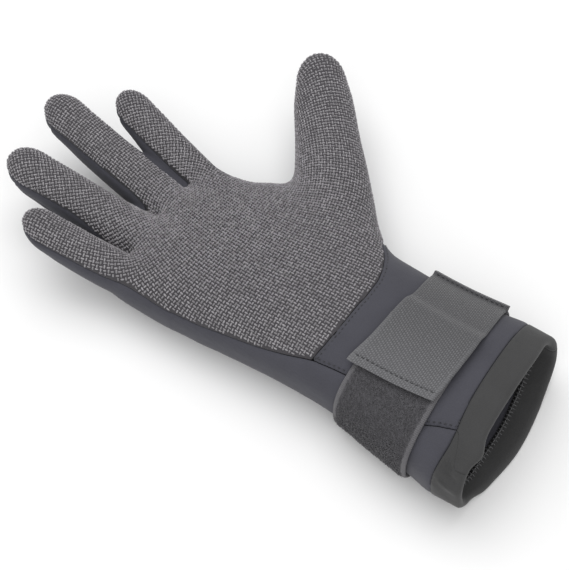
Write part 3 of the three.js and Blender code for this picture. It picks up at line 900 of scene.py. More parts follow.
def ground_cloth_material(name, colour):
    """The dark knitted ground between the grip fabric's yarns."""
    material, build, shader = new_material(name, colour, 0.9, sheen_and_painted_light=0.1)
    cloth = build.cloth_place()
    grain = build.noise(cloth, 1500.0)
    wear = build.math("MULTIPLY", build.noise(cloth, 45.0, 3.0), 0.3)
    tone = build.math("MULTIPLY_ADD", grain, 0.7, wear)
    finish_material(build, shader, build.shades(tone, colour, 0.6, 1.4), grain, 0.0003, 0.9)
    return material


def yarn_material(name, colour):
    """Spun yarn, each float a little lighter or darker than the next."""
    material, build, shader = new_material(name, colour, 0.72, sheen_and_painted_light=0.25)
    shade = build.add("ShaderNodeAttribute", attribute_name="shade").outputs["Fac"]
    place = build.object_place()
    wear = build.math("MULTIPLY", build.noise(place, 40.0, 3.0), 0.25)
    tone = build.math("MULTIPLY_ADD", shade, 0.75, wear)
    finish_material(build, shader, build.shades(tone, colour, 0.65, 1.35),
                    build.noise(place, 4000.0, 1.0), 0.00015, 0.5)
    return material


def thread_material(name, colour):
    """Twisted sewing thread."""
    material, build, shader = new_material(name, colour, 0.6, sheen_and_painted_light=0.1)
    twist = build.noise(build.object_place(), 2500.0, 1.0)
    finish_material(build, shader, build.shades(twist, colour, 0.7, 1.3), twist, 0.0001, 0.5)
    return material


def webbing_material(name, colour, pitch):
    """Woven tape: short floats in slanting rows between two smooth selvedges, with painted shade
    by the fin that turns to painted light further round the cuff.
    """
    material, build, shader = new_material(name, colour, 0.62, sheen_and_painted_light=0.2)
    cloth = build.cloth_place()
    along, across = build.add("ShaderNodeSeparateXYZ", {0: cloth}).outputs[:2]
    row = build.math("DIVIDE", across, pitch * 0.62)
    shift = build.math("MULTIPLY", build.math("FLOOR", row), 0.37)
    step = build.math("ADD", build.math("DIVIDE", along, pitch), shift)
    hump_along, hump_across = (
        build.math("SINE", build.math("MULTIPLY", build.math("FRACT", count), math.pi))
        for count in (step, row))
    weave = build.math("MULTIPLY", hump_along, hump_across)
    edge = build.selvedge(across, 0.0022, 0.0014)
    height = build.mixed(edge, weave, build.ribs(along, 0.0011))
    speckle = build.math("MULTIPLY", height, build.noise(cloth, 900.0, 1.0))
    # Painted light and shade along the tape: darker by the fin, lighter further round the cuff.
    # The darkest shade, 0.61, is set low for this painted shade.
    sheen_and_painted_light = build.math("MULTIPLY_ADD", along, 11.0, -0.58)
    tone = build.math("ADD", build.math("MULTIPLY", speckle, 1.7), sheen_and_painted_light)
    finish_material(build, shader, build.shades(tone, colour, 0.61, 1.45), height, 0.0005, 0.8)
    return material


def pile_tape_material(name, colour, edge_colour):
    """The loop tape's ground: dark under its pile, with a lighter woven edge."""
    material, build, shader = new_material(name, colour, 0.95, sheen_and_painted_light=0.15)
    cloth = build.cloth_place()
    along, across = build.add("ShaderNodeSeparateXYZ", {0: cloth}).outputs[:2]
    margin = PILE_MARGIN / MILLIMETRES
    edge = build.selvedge(across, margin + 0.0004, margin)
    fluff = build.noise(cloth, 700.0, 3.0, 0.7)
    ribs = build.ribs(along, 0.0009)
    shades = build.mixed_colour(edge, build.shades(fluff, colour, 0.6, 1.4),
                                build.shades(ribs, edge_colour, 0.75, 1.2))
    finish_material(build, shader, shades, build.mixed(edge, fluff, ribs), 0.0006, 0.9)
    return material


# ---- The grip fabric -----------------------------------------------------------------------

def unwrap_panel(piece):
    """Lays a panel out flat, in metres and in line with the hand, as its UV map."""
    bpy.context.view_layer.objects.active = piece
    piece.select_set(True)
    mesh = piece.data
    mesh.uv_layers.new(name="cloth")
    bpy.ops.object.mode_set(mode="EDIT")
    bpy.ops.mesh.select_all(action="SELECT")
    bpy.ops.uv.unwrap(method="MINIMUM_STRETCH", iterations=16, margin=0.0)
    bpy.ops.object.mode_set(mode="OBJECT")
    piece.select_set(False)
    uv = np.empty(len(mesh.loops) * 2)
    mesh.uv_layers[0].data.foreach_get("uv", uv)
    uv = uv.reshape(-1, 2)
    corners = vertex_places(mesh)[corner_vertices(mesh)]
    centred, target = uv - uv.mean(axis=0), corners[:, :2] - corners[:, :2].mean(axis=0)
    left, _, right = np.linalg.svd(centred.T @ target)
    turned = centred @ (left @ right)
    a, b, c = np.moveaxis(corners.reshape(-1, 3, 3), 1, 0)
    p, q, r = np.moveaxis(turned.reshape(-1, 3, 2), 1, 0)
    area = np.linalg.norm(np.cross(b - a, c - a), axis=1).sum()
    turned *= math.sqrt(area / np.abs(np.cross(q - p, r - p)).sum())
    turned -= turned.min(axis=0)
    mesh.uv_layers[0].data.foreach_set("uv", turned.ravel())
    return tuple(float(size) for size in turned.max(axis=0))


def yarn_float_mesh(length, width, height):
    """One short float of yarn: a low closed hump whose ends dive into the ground."""
    half, side, quarter = length / 2, width / 2, length / 4
    points = [(-half, 0.0, -0.35 * height), (half, 0.0, -0.35 * height)]
    for x in (-quarter, quarter):
        points += [(x, -side, 0.0), (x, 0.0, height), (x, side, 0.0)]
    faces = [(0, 2, 3), (0, 3, 4), (0, 4, 2), (1, 6, 5), (1, 7, 6), (1, 5, 7),
             (2, 5, 6, 3), (3, 6, 7, 4), (4, 7, 5, 2)]
    mesh = bpy.data.meshes.new("yarn_float")
    mesh.from_pydata(points, [], faces)
    shade_smooth(mesh)
    return mesh


YARN_STRAY = 0.00016                   # how far a float strays from its place, in metres
TANGENT_STEP = 0.0006                  # how far ahead the cloth's own direction is read


def weave_tree():
    """Yarn floats on a checkerboard laid over the cloth's flat pattern."""
    build, given, result = geometry_tree("Yarn floats", [
        ("Cloth", "Object", None),
        ("Float", "Object", None),
        ("Pattern Width", "Float", 0.2),
        ("Pattern Length", "Float", 0.25),
        ("Columns", "Int", 100),
        ("Rows", "Int", 150),
        ("Lift", "Float", 0.0001),
        ("Margin", "Float", 0.001),
        ("Seed", "Int", 7),
    ])
    cloth, cloth_map = build.shape(given["Cloth"]), build.named("cloth")
    grid = build.add("GeometryNodeMeshGrid", {
        "Size X": given["Pattern Width"], "Size Y": given["Pattern Length"],
        "Vertices X": given["Columns"], "Vertices Y": given["Rows"],
    }).outputs[0]
    corner = build.add("ShaderNodeCombineXYZ", {
        0: build.math("MULTIPLY", given["Pattern Width"], 0.5),
        1: build.math("MULTIPLY", given["Pattern Length"], 0.5),
    }).outputs[0]
    stray = build.random_vector((-YARN_STRAY, -YARN_STRAY, 0.0), (YARN_STRAY, YARN_STRAY, 0.0),
                                given["Seed"])
    position = build.add("GeometryNodeInputPosition").outputs[0]
    flat = build.vector("ADD", build.vector("ADD", position, corner), stray)
    points = build.store(grid, "flat", "FLOAT_VECTOR", flat)
    flat = build.named("flat")

    def sample(value, at, kind="FLOAT_VECTOR"):
        return build.add("GeometryNodeSampleUVSurface", {
            "Mesh": cloth, "Value": value, "UV Map": cloth_map, "Sample UV": at,
        }, data_type=kind).outputs

    here = sample(position, flat)
    normal = sample(build.add("GeometryNodeInputNormal").outputs[0], flat)[0]
    ahead = sample(position, build.vector("ADD", flat, (TANGENT_STEP, 0.0, 0.0)))
    from_seam = sample(build.named("from_seam", "FLOAT"), flat, "FLOAT")[0]
    clear = build.math("GREATER_THAN", from_seam, given["Margin"])
    on_cloth = build.math("MULTIPLY", build.math("MULTIPLY", here[1], ahead[1]), clear)
    index = build.add("GeometryNodeInputIndex").outputs[0]
    column = build.math("FLOOR", build.math("DIVIDE", index, given["Rows"]))
    row = build.math("SUBTRACT", index, build.math("MULTIPLY", column, given["Rows"]))
    parity = build.math("MODULO", build.math("ADD", column, row), 2.0)
    for name, kind, value in (
            ("tangent", "FLOAT_VECTOR", build.vector("SUBTRACT", ahead[0], here[0])),
            ("normal", "FLOAT_VECTOR", normal),
            ("place", "FLOAT_VECTOR", here[0]),
            ("on_cloth", "FLOAT", on_cloth),
            ("parity", "FLOAT", parity)):
        points = build.store(points, name, kind, value)
    kept = build.add("GeometryNodeDeleteGeometry", {
        "Geometry": points,
        "Selection": build.math("LESS_THAN", build.named("on_cloth", "FLOAT"), 0.5),
    }, domain="POINT").outputs[0]
    normal, tangent = build.named("normal"), build.named("tangent")
    lifted = build.vector("ADD", build.named("place"), build.scaled(normal, given["Lift"]))
    placed = build.add("GeometryNodeSetPosition", {"Geometry": kept, "Position": lifted})
    way = build.add("ShaderNodeMix", {
        0: build.named("parity", "FLOAT"), 4: tangent,
        5: build.vector("CROSS_PRODUCT", normal, tangent),
    }, data_type="VECTOR").outputs[1]
    floats = build.add("GeometryNodeInstanceOnPoints", {
        "Points": placed.outputs[0], "Instance": build.shape(given["Float"]),
        "Rotation": build.aligned(normal, way),
        "Scale": build.random(0.88, 1.12, given["Seed"]),
    }).outputs[0]
    shaded = build.store(floats, "shade", "FLOAT", build.random(0.0, 1.0, 3), "INSTANCE")
    return finish_tree(build, result, shaded, given["Material"])


# ---- Stitches and pile ---------------------------------------------------------------------

def seam_tree():
    """Stitches along the sewn edges of a sheet, or along a line of edges."""
    build, given, result = geometry_tree("Stitches along a seam", [
        ("Stitch", "Object", None),
        ("Pitch", "Float", 0.002),
        ("Inset", "Float", 0.0),
        ("Lift", "Float", 0.0),
        ("Turn", "Float", 0.0),
    ])
    neighbours = build.add("GeometryNodeInputMeshEdgeNeighbors").outputs[0]
    open_edge = build.math("LESS_THAN", neighbours, 2.0)
    sewn = build.math("GREATER_THAN", build.named("sewn", "FLOAT"), 0.5)
    line = build.add("GeometryNodeMeshToCurve", {
        "Mesh": given["Geometry"], "Selection": build.math("MULTIPLY", open_edge, sewn),
    }).outputs[0]
    even = build.add("GeometryNodeResampleCurve", {"Curve": line, "Length": given["Pitch"]},
                     mode="LENGTH").outputs[0]
    outward = build.named("outward")
    offset = build.vector("ADD", build.scaled(build.named("inward"), given["Inset"]),
                          build.scaled(outward, given["Lift"]))
    moved = build.add("GeometryNodeSetPosition", {"Geometry": even, "Offset": offset})
    along = build.aligned(outward, build.add("GeometryNodeInputTangent").outputs[0])
    twist = build.add("ShaderNodeCombineXYZ", {2: given["Turn"]}).outputs[0]
    stitches = build.add("GeometryNodeInstanceOnPoints", {
        "Points": moved.outputs[0], "Instance": build.shape(given["Stitch"]),
        "Rotation": build.turned(along, twist),
    })
    return finish_tree(build, result, stitches.outputs[0], given["Material"])


TUFT_LEAN = 0.8                        # how far a tuft leans over, in radians


def pile_tree():
    """Tufts scattered over the part of a tape that carries pile."""
    build, given, result = geometry_tree("Loop pile", [
        ("Tuft", "Object", None),
        ("Density", "Float", 1e6),
        ("Seed", "Int", 11),
    ])
    points = build.add("GeometryNodeDistributePointsOnFaces", {
        "Mesh": given["Geometry"],
        "Selection": build.math("GREATER_THAN", build.named("pile", "FLOAT"), 0.5),
        "Density": given["Density"], "Seed": given["Seed"],
    })
    lean = build.random_vector((-TUFT_LEAN, -TUFT_LEAN, 0.0),
                               (TUFT_LEAN, TUFT_LEAN, 2 * math.pi), given["Seed"])
    tufts = build.add("GeometryNodeInstanceOnPoints", {
        "Points": points.outputs[0], "Instance": build.shape(given["Tuft"]),
        "Rotation": build.turned(points.outputs["Rotation"], lean),
        "Scale": build.random(0.7, 1.3, 5),
    }).outputs[0]
    shaded = build.store(tufts, "shade", "FLOAT", build.random(0.0, 1.0, 3), "INSTANCE")
    return finish_tree(build, result, shaded, given["Material"])


def tuft_mesh(width, height):
    """One tuft of loop pile: a small closed arch."""
    half = width / 2
    points = [(-half, 0.0, -0.1 * height), (half, 0.0, -0.1 * height),
              (0.0, half, 0.9 * height), (0.0, -half, 0.9 * height)]
    mesh = bpy.data.meshes.new("tuft")
    mesh.from_pydata(points, [], [(0, 2, 3), (1, 3, 2), (0, 1, 2), (0, 3, 1)])
    return mesh


def repeat_over(name, source, tree, part, shape, material, values):
    """Runs a tree that repeats a shape, its part, over a copy of a source."""
    pattern = link_object(part, shape)
    piece = link_object(name, source.data.copy())
    run_nodes(piece, tree, {part: pattern, "Material": material, **values})
    piece.data.materials.clear()
    piece.data.materials.append(material)
    bpy.data.objects.remove(pattern)
    return piece


def add_stitches(name, source, material, slot, stitch, pitch, **values):
    """Stitches of a given length, width and height along a seam, in metres."""
    stitches = repeat_over(name, source, seam_tree(), "Stitch", yarn_float_mesh(*stitch),
                           material, {"Pitch": pitch, **values})
    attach(stitches, "root")


def seam_line(name, points, outward, material):
    """A line of edges, each point with the direction that faces out of the cloth."""
    line = make_object(name, points, [], material)
    mesh = line.data
    mesh.edges.add(len(points) - 1)
    ends = np.stack([np.arange(len(points) - 1), np.arange(1, len(points))], axis=1)
    mesh.edges.foreach_set("vertices", ends.ravel())
    mesh.update()
    set_attribute(line, "sewn", "FLOAT", np.ones(len(points)))
    set_attribute(line, "inward", "FLOAT_VECTOR", np.zeros((len(points), 3)))
    set_attribute(line, "outward", "FLOAT_VECTOR", unit(outward))
    return line


# ---- The strap -----------------------------------------------------------------------------

# Turns round the cuff, in radians: where the tapes start, where each ends, and where the
# webbing climbs over the loop tape.
FIN_TURN, WEBBING_END, LOOP_END = 0.42, 2.07, -4.795
RAMP_START, RAMP_END = 1.157, 1.323
STRAP_FIN = 4.5                        # how far both tapes stand off the cuff at the fin
FIN_STATIONS, FIN_STITCH_ROW, FIN_ROWS = 5, 2, 10
END_FOLD, END_STITCH, FOLD_HEIGHT, STITCH_DIP = 3.2, 4.0, 0.55, 0.5    # the webbing's end
TAPE_COLUMNS = 45
STATION_STEP, END_STEP, FIRST_STATION, END_STATIONS = 1.2, 0.35, 3.0, 9.0
EDGE_ROUND, EDGE_SHARE = 0.9, 0.25     # the tapes' rounded edges: width, and thickness left
PATH_POINTS = 1500                     # steps in which a way round the cuff is measured
OVERRUN_TURN = 0.5                     # how far past the webbing's end it is measured
PILE_MARGIN = 2.0                      # bare woven edge of the loop tape
PILE_CLEARANCE = 1.5                   # no pile is drawn closer than this to the table
TABLE_CLEARANCE = 0.05
# How the tapes lie: turn round the cuff, and the distances of both edges from the rim.
WEBBING_EDGES = np.array([
    (0.42, 26.3, 66.8),
    (1.00, 25.2, 66.6),
    (1.38, 25.0, 68.8),
    (1.76, 26.8, 71.5),
    (2.20, 29.2, 75.4),
])
LOOP_EDGES = np.array([
    (1.49, 27.0, 70.5),
    (2.60, 27.5, 72.2),
    (3.40, 28.0, 71.3),
    (4.70, 27.0, 70.0),
    (6.70, 26.3, 66.8),
])
# Stitches: length, width and height, and their spacing along the strap's and hem's seams.
PANEL_STITCH = (0.0016, 0.0005, 0.00025)
LADDER_STITCH = (0.0042, 0.0007, 0.0006)
CHAIN_STITCH, CHAIN_PITCH = (0.0022, 0.0006, 0.0006), 0.0020
STRAP_STITCH, STRAP_PITCH = (0.0021, 0.0007, 0.0005), 0.0026


def travelled_to(path):
    """The length travelled to each point of a path."""
    steps = np.linalg.norm(np.diff(path, axis=0), axis=1)
    return np.concatenate([[0.0], steps.cumsum()])


def tape_path(y, end):
    """Turns round the cuff from the fin on, and the lengths to them along a tape's line at y."""
    turns = np.linspace(FIN_TURN, end, PATH_POINTS)
    return turns, travelled_to(body_point(y, turns, STRAP_THICKNESS / 2))


def tape_form(end, edges, lift, extra):
    """Both faces of a tape, station by station from its fin, and the lengths along it."""
    way = math.copysign(1.0, end - FIN_TURN)
    share = np.linspace(0.0, 1.0, TAPE_COLUMNS)

    def edge_lines(turns):
        around = turns if way > 0 else turns + 2 * math.pi
        first, last = smooth_rows(edges, around, 1), smooth_rows(edges, around, 2)
        return first + (last - first) * share

    turns, lengths_to = tape_path(STRAP_START + STRAP_WIDTH / 2, end)
    total = lengths_to[-1]
    lengths = np.concatenate([np.arange(FIRST_STATION, total - END_STATIONS, STATION_STEP),
                              np.arange(total - END_STATIONS, total, END_STEP), [total]])
    if way > 0:
        paths = (tape_path(y, end + OVERRUN_TURN) for y in STRAP_START + STRAP_WIDTH * share)
        grid = np.stack([np.interp(lengths, along, round_cuff) for round_cuff, along in paths],
                        axis=1)
    else:
        grid = np.repeat(np.interp(lengths, lengths_to, turns)[:, None], TAPE_COLUMNS, axis=1)

    y = edge_lines(np.full(TAPE_COLUMNS, FIN_TURN))
    ahead = unit(body_point(y, FIN_TURN + 0.01 * way, 0.0) - body_point(y, FIN_TURN, 0.0))
    near, far = [], []
    for part in np.linspace(0.0, 1.0, FIN_STATIONS):
        for rows, foot, rise in ((near, SEAM_GAP, 0.0), (far, STRAP_LIFT, STRAP_THICKNESS)):
            edge = body_point(y, FIN_TURN, STRAP_FIN + (foot - STRAP_FIN) * part)
            rows.append(edge + ahead * (rise + SEAM_GAP / 2))
    for turn, length in zip(grid, lengths):
        y, height = edge_lines(turn), lift(turn)
        near.append(body_point(y, turn, height))
        far.append(body_point(y, turn, height + STRAP_THICKNESS + extra(total - length)))
    near, far = np.array(near), np.array(far)
    for _ in range(2):
        for face in (near, far):
            face[3:9] = (face[2:8] + 2 * face[3:9] + face[4:10]) / 4
    middle = (near + far) / 2
    from_edge = np.clip(STRAP_WIDTH * np.minimum(share, 1 - share) / EDGE_ROUND, 0.0, 1.0)
    rounded = np.sqrt(1 - (1 - from_edge) ** 2) * (1 - EDGE_SHARE) + EDGE_SHARE
    near, far = (middle + (face - middle) * rounded[None, :, None] for face in (near, far))
    near[..., 2], far[..., 2] = (np.maximum(face[..., 2], TABLE_CLEARANCE)
                                 for face in (near, far))
    return near, far, travelled_to(middle[:, TAPE_COLUMNS // 2])


def tape_piece(name, near, far, travelled, material):
    """A closed tape between its two faces, with its own lengths and widths as its map."""
    rows, columns = near.shape[:2]
    rings = np.concatenate([near, far[:, ::-1]], axis=1)
    sides = rings.shape[1]
    faces = ring_faces(rows, sides)
    for start in (0, (rows - 1) * sides):
        for column in range(columns - 1):
            other = start + sides - 1 - column
            faces.append((start + column, start + column + 1, other - 1, other))
    across = np.linspace(0.0, STRAP_WIDTH, columns)
    across = np.concatenate([across, across[::-1]])
    uvs = np.stack([np.repeat(travelled, sides), np.tile(across, rows)], axis=1) / MILLIMETRES
    piece = make_object(name, rings.reshape(-1, 3), faces, material, uvs)
    face_outwards(piece)
    return piece


def over_loop_tape(turn):
    """How high the webbing lies: on the cuff, and past its ramp on the loop tape."""
    return SEAM_GAP + STRAP_LIFT * smooth_step(turn, RAMP_START, RAMP_END)


def end_fold(left):
    """How much thicker the webbing is near its end, where it is folded in and sewn down."""
    fold = FOLD_HEIGHT * smooth_step(left, END_FOLD + 0.6, END_FOLD)
    return fold - STITCH_DIP * bump(left, END_STITCH, 0.45)


# ---- The hem -------------------------------------------------------------------------------

LADDER_INSET = 0.6                     # the ladder's middle line, short of the leaf's edge
LADDER_TURN = math.radians(80.0)
HEM_STEP = 0.022                       # turn round the cuff from one ring to the next
INNER_PUCKER = 0.4                     # share of the outer leaf's gathers in the inner one


def inner_reach(turn):
    """How far the hem's inner leaf runs from the rim. It is narrower under the side seam."""
    return HEM_INNER - 2.5 * bump(np.mod(turn, 2 * math.pi), 2 * math.pi - 2.2, 0.5)


def rim_wave(turn):
    """How far the rim itself strays, towards the fingers."""
    return 1.5 * bump(turn, 0.6, 0.3) - 2.8 * bump(turn, DRAWN_TURN, 0.16)


def pucker(turn, y):
    """Small gathers in the hem's outer leaf by the side seam."""
    fade = np.sin(np.clip(y / HEM_LENGTH, 0.0, 1.0) * math.pi)
    waves = np.sin((turn - PUCKER_TURN) * 17.0 + y * 0.25)
    return -1.1 * bump(turn, PUCKER_TURN, 0.32) * fade * waves


def hem_profile():
    """The folded edge in section: share of the hem's reach, depth, and reach past the fold."""
    inner, fold = HEM_THICKNESS - HEM_LEAF, HEM_THICKNESS / 2
    shares = np.linspace(0.0, 1.0, 9)[1:]
    outside = [(share, 0.0, 0.0) for share in shares[::-1]]
    turn = [(0.0, fold - fold * math.cos(a), -fold * math.sin(a))
            for a in np.linspace(0.0, math.pi, 9)]
    inside = [(share, HEM_THICKNESS, 0.0) for share in shares]
    back = [(share, inner, 0.0) for share in (1.0, 0.75, 0.5, 0.25, 0.0)]
    front = [(share, HEM_OUTER, 0.0) for share in (0.0, 0.25, 0.5, 0.75, 1.0)]
    return outside + turn + inside + back + front


def hem_piece(name, start, end, skews, material):
    """The hem between two turns round the cuff: one leaf of cloth folded in at the rim."""
    fold = HEM_THICKNESS / 2
    across = np.linspace(0.0, 1.0, int(abs(end - start) / HEM_STEP) + 2)
    rings = []
    for share, depth, past in hem_profile():
        skew = SEAM_SKEW * smooth_step(1.0 - share, 0.0, 0.75)
        first, last = start + skew * skews[0], end + skew * skews[1]
        turns = first + (last - first) * across
        on_outer = depth < HEM_LEAF
        reach = hem_reach(turns) if on_outer else inner_reach(turns)
        y = fold + share * (reach - fold) + past + rim_wave(turns) * (1.0 - share) ** 2
        gathers = 1.0 if depth < HEM_LEAF - 0.1 else INNER_PUCKER
        rings.append(body_point(y, turns, pucker(turns, y) * gathers - depth))
    rings = np.stack(rings, axis=1)
    rows, sides = rings.shape[:2]
    last_ring = (rows - 1) * sides
    faces = ring_faces(rows, sides) + [tuple(range(sides))[::-1],
                                       tuple(range(last_ring, last_ring + sides))]
    piece = make_object(name, rings.reshape(-1, 3), faces, material)
    face_outwards(piece)
    return piece


def seam_turn(side):
    """Where the side seam meets the hem, as a turn round the cuff."""
    turns = np.linspace(0.02, math.pi / 2, 400)
    if side == "little":
        turns = math.pi - turns
    above = above_palm_seam(body_point(hem_reach(turns), turns, 0.0))
    return float(turns[np.argmin(np.abs(above))])


# ---- Stage ---------------------------------------------------------------------------------

# The camera: degrees round and above, lens, and the picture point where a point of the hand
# lies, at a scale in pixels to the millimetre.
CAMERA_AZIMUTH, CAMERA_ELEVATION, CAMERA_LENS, CAMERA_SENSOR = -57.0, 60.0, 100.0, 36.0
CAMERA_AIM = np.array([0.0, 46.0, 30.0])
PICTURE_AIM, PICTURE_SIZE, PICTURE_SCALE = (420.0, 370.0), (569.0, 570.0), 2.05
FLOOR_REACH, FLOOR_SPECKLE = 4.0, 3.0
FLOOR_SHADES = (0.84, 0.84, 0.84, 1.0), (0.88, 0.88, 0.88, 1.0)
WORLD_STRENGTH = 0.62
# The softboxes: place, size and power.
SOFTBOXES = {
    "key_softbox": ((0.30, 0.40, 1.2), 1.2, 10.5),
    "fill_softbox": ((-0.7, -0.4, 0.9), 1.0, 4.5),
}
LIGHT_AIM = Vector((0.0, 0.0, 0.02))


def camera_matrix():
    """Where the camera stands, so that the aim lies at its picture point at the given scale."""
    azimuth, elevation = math.radians(CAMERA_AZIMUTH), math.radians(CAMERA_ELEVATION)
    back = Vector((math.sin(azimuth) * math.cos(elevation),
                   -math.cos(azimuth) * math.cos(elevation), math.sin(elevation)))
    right = Vector((0.0, 0.0, 1.0)).cross(back).normalized()
    up = back.cross(right)
    distance = CAMERA_LENS / CAMERA_SENSOR * max(PICTURE_SIZE) / PICTURE_SCALE
    place = Vector(CAMERA_AIM - FRAME_ORIGIN) + back * distance
    place -= right * ((PICTURE_AIM[0] - PICTURE_SIZE[0] / 2) / PICTURE_SCALE)
    place += up * ((PICTURE_AIM[1] - PICTURE_SIZE[1] / 2) / PICTURE_SCALE)
    turn = Matrix((right, up, back)).transposed().to_4x4()
    return Matrix.Translation(place / MILLIMETRES) @ turn


# ---- Operators -----------------------------------------------------------------------------

MERGE_DISTANCE = 0.00008
STITCH_REACH = 1.2                     # the wrist panel's edges this near a seam are sewn


def settings():
    """The glove's sizes and colours."""
    return bpy.context.scene.glove_sizes, bpy.context.scene.glove_colours


def ride_as_cloth(piece, replaced):
    """Puts a sheet of cloth on the frame, in place of the plain solid that it stands for."""
    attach(piece, "root")
    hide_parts(replaced)


def panel_sheet(name, field, material):
    """The outer face of one sewn panel."""
    sizes, _ = settings()
    points, triangles = sewn_panel(field, sizes.mesh_step * MILLIMETRES)
    piece = make_object(name, points, triangles, material)
    tidy_mesh(piece, MERGE_DISTANCE)
    places = vertex_places(piece.data) * MILLIMETRES + FRAME_ORIGIN
    outward, inward = unit(gradient(hand_distance, places)), gradient(field, places)
    inward = unit(inward - outward * (inward * outward).sum(axis=1, keepdims=True))
    set_attribute(piece, "outward", "FLOAT_VECTOR", outward)
    set_attribute(piece, "inward", "FLOAT_VECTOR", inward)
    set_attribute(piece, "from_seam", "FLOAT", np.abs(field(places)) / MILLIMETRES)
    return piece, places


def finish_panel(piece, replaced):
    """Gives a panel its thickness and puts it on the frame."""
    sizes, _ = settings()
    thicken(piece, sizes.cloth_thickness)
    ride_as_cloth(piece, replaced)


class GLOVE_OT_stage(bpy.types.Operator):
    """Sets out the pale floor, the soft lights and the camera"""
    bl_idname = "glove.stage"
    bl_label = "Stage"

    def execute(self, context):
        scene = context.scene
        material, build, shader = new_material("studio_floor", (0.86, 0.86, 0.86), 0.9)
        tone = build.mixed_colour(build.noise(build.object_place(), FLOOR_SPECKLE),
                                  *FLOOR_SHADES)
        build.tree.links.new(tone, shader.inputs["Base Color"])
        mesh = bpy.data.meshes.new("studio_floor")
        corners = [(x * FLOOR_REACH, y * FLOOR_REACH, 0.0)
                   for x, y in ((-1, -1), (1, -1), (1, 1), (-1, 1))]
        mesh.from_pydata(corners, [], [(0, 1, 2, 3)])
        mesh.materials.append(material)
        floor = link_object("studio_floor", mesh)

        world = bpy.data.worlds.new("studio")
        world.use_nodes = True
        background = world.node_tree.nodes["Background"]
        background.inputs["Color"].default_value = (1.0, 1.0, 1.0, 1.0)
        background.inputs["Strength"].default_value = WORLD_STRENGTH
        scene.world = world
        scene.view_settings.view_transform = "Standard"

        for name, (place, size, power) in SOFTBOXES.items():
            data = bpy.data.lights.new(name, "AREA")
            data.shape, data.size, data.energy = "SQUARE", size, power
            light = link_object(name, data)
            light.location = place
            towards = LIGHT_AIM - light.location
            light.rotation_euler = towards.to_track_quat("-Z", "Y").to_euler()

        camera = link_object("camera", bpy.data.cameras.new("camera"))
        camera.data.lens = CAMERA_LENS
        camera.data.sensor_width = CAMERA_SENSOR
        camera.data.clip_start = 0.01
        camera.matrix_world = camera_matrix()
        scene.camera = camera
        return {"FINISHED"}


class GLOVE_OT_palm(bpy.types.Operator):
    """Makes the grip fabric panel and the woven yarns that stand on it"""
    bl_idname = "glove.palm"
    bl_label = "Palm"

    def execute(self, context):
        sizes, colours = settings()
        ground = ground_cloth_material("grip_fabric_ground", colours.ground)
        palm, _ = panel_sheet("palm_cloth", palm_field, ground)
        flat = unwrap_panel(palm)
        yarn = yarn_material("grip_fabric_yarn", colours.yarn)
        float_shape = link_object("yarn_float", yarn_float_mesh(
            sizes.float_length, sizes.float_width, sizes.float_height))
        yarns = make_object("palm_yarns", np.zeros((0, 3)), [], yarn)
        run_nodes(yarns, weave_tree(), {
            "Cloth": palm,
            "Float": float_shape,
            "Pattern Width": flat[0],
            "Pattern Length": flat[1],
            "Columns": int(flat[0] / sizes.yarn_pitch) + 1,
            "Rows": int(flat[1] / sizes.yarn_pitch) + 1,
            "Lift": sizes.float_lift,
            "Margin": sizes.float_margin,
            "Material": yarn,
        })
        bpy.data.objects.remove(float_shape)
        finish_panel(palm, "palm_panel")
        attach(yarns, "root")
        return {"FINISHED"}


class GLOVE_OT_panels(bpy.types.Operator):
    """Makes the plain foam rubber panels: cuff, back of hand and the strips between fingers"""
    bl_idname = "glove.panels"
    bl_label = "Plain panels"

    def execute(self, context):
        sizes, colours = settings()
        foam = foam_cloth_material("foam_cloth", colours.foam, sizes.knit_pitch)
        thread = thread_material("dark_thread", colours.thread)
        wrist, places = panel_sheet("wrist_cloth", wrist_field, foam)
        at_palm = np.abs(past_wrist_seam(places)) < STITCH_REACH
        at_side = (np.abs(above_palm_seam(places)) < STITCH_REACH) & (places[:, 0] < 0.0)
        set_attribute(wrist, "sewn", "FLOAT", at_palm | at_side)
        add_stitches("panel_stitches", wrist, thread, "foam_cloth", PANEL_STITCH,
                     sizes.stitch_pitch, Inset=0.0016, Lift=0.0007)
        finish_panel(wrist, "wrist_panel")
        back, _ = panel_sheet("back_cloth", back_field, foam)
        finish_panel(back, "back_panel")
        for index, (lower, upper) in enumerate(zip(FINGERS, FINGERS[1:])):
            pair = f"{upper.name}_{lower.name}"
            field = functools.partial(strip_field, index=index)
            strip, _ = panel_sheet(f"strip_{pair}", field, foam)
            finish_panel(strip, f"fourchette_{pair}")
        return {"FINISHED"}


class GLOVE_OT_hem(bpy.types.Operator):
    """Folds the cuff's hem and sews its inner edge down"""
    bl_idname = "glove.hem"
    bl_label = "Hem"

    def execute(self, context):
        sizes, colours = settings()
        cloth = foam_cloth_material("hem_cloth", colours.hem, sizes.knit_pitch)
        thread = thread_material("hem_thread", colours.ladder)
        gap, around = SEAM_GAP / CUFF_WIDTH, 2 * math.pi
        thumb, little = seam_turn("thumb"), seam_turn("little")
        palm_side = hem_piece("hem_palm_fold", thumb + gap, little - gap, (0, 1), cloth)
        back_side = hem_piece("hem_back_fold", little + gap, thumb + around - gap, (1, 0),
                              cloth)
        for piece, replaced, arc in ((palm_side, "hem_palm_side", little - thumb),
                                     (back_side, "hem_back_side", around + thumb - little)):
            ride_as_cloth(piece, replaced)
        turns = np.linspace(0.0, around, 240)
        edge, inside = (body_point(inner_reach(turns) - LADDER_INSET, turns,
                                   -HEM_THICKNESS - depth) for depth in (0.0, 1.0))
        line = seam_line("hem_inner_line", edge, inside - edge, thread)
        add_stitches("hem_ladder", line, thread, "hem_cloth", LADDER_STITCH,
                     sizes.ladder_pitch, Turn=LADDER_TURN)
        add_stitches("hem_chain", line, thread, "hem_cloth", CHAIN_STITCH, CHAIN_PITCH,
                     Lift=0.0001)
        bpy.data.objects.remove(line)
        return {"FINISHED"}


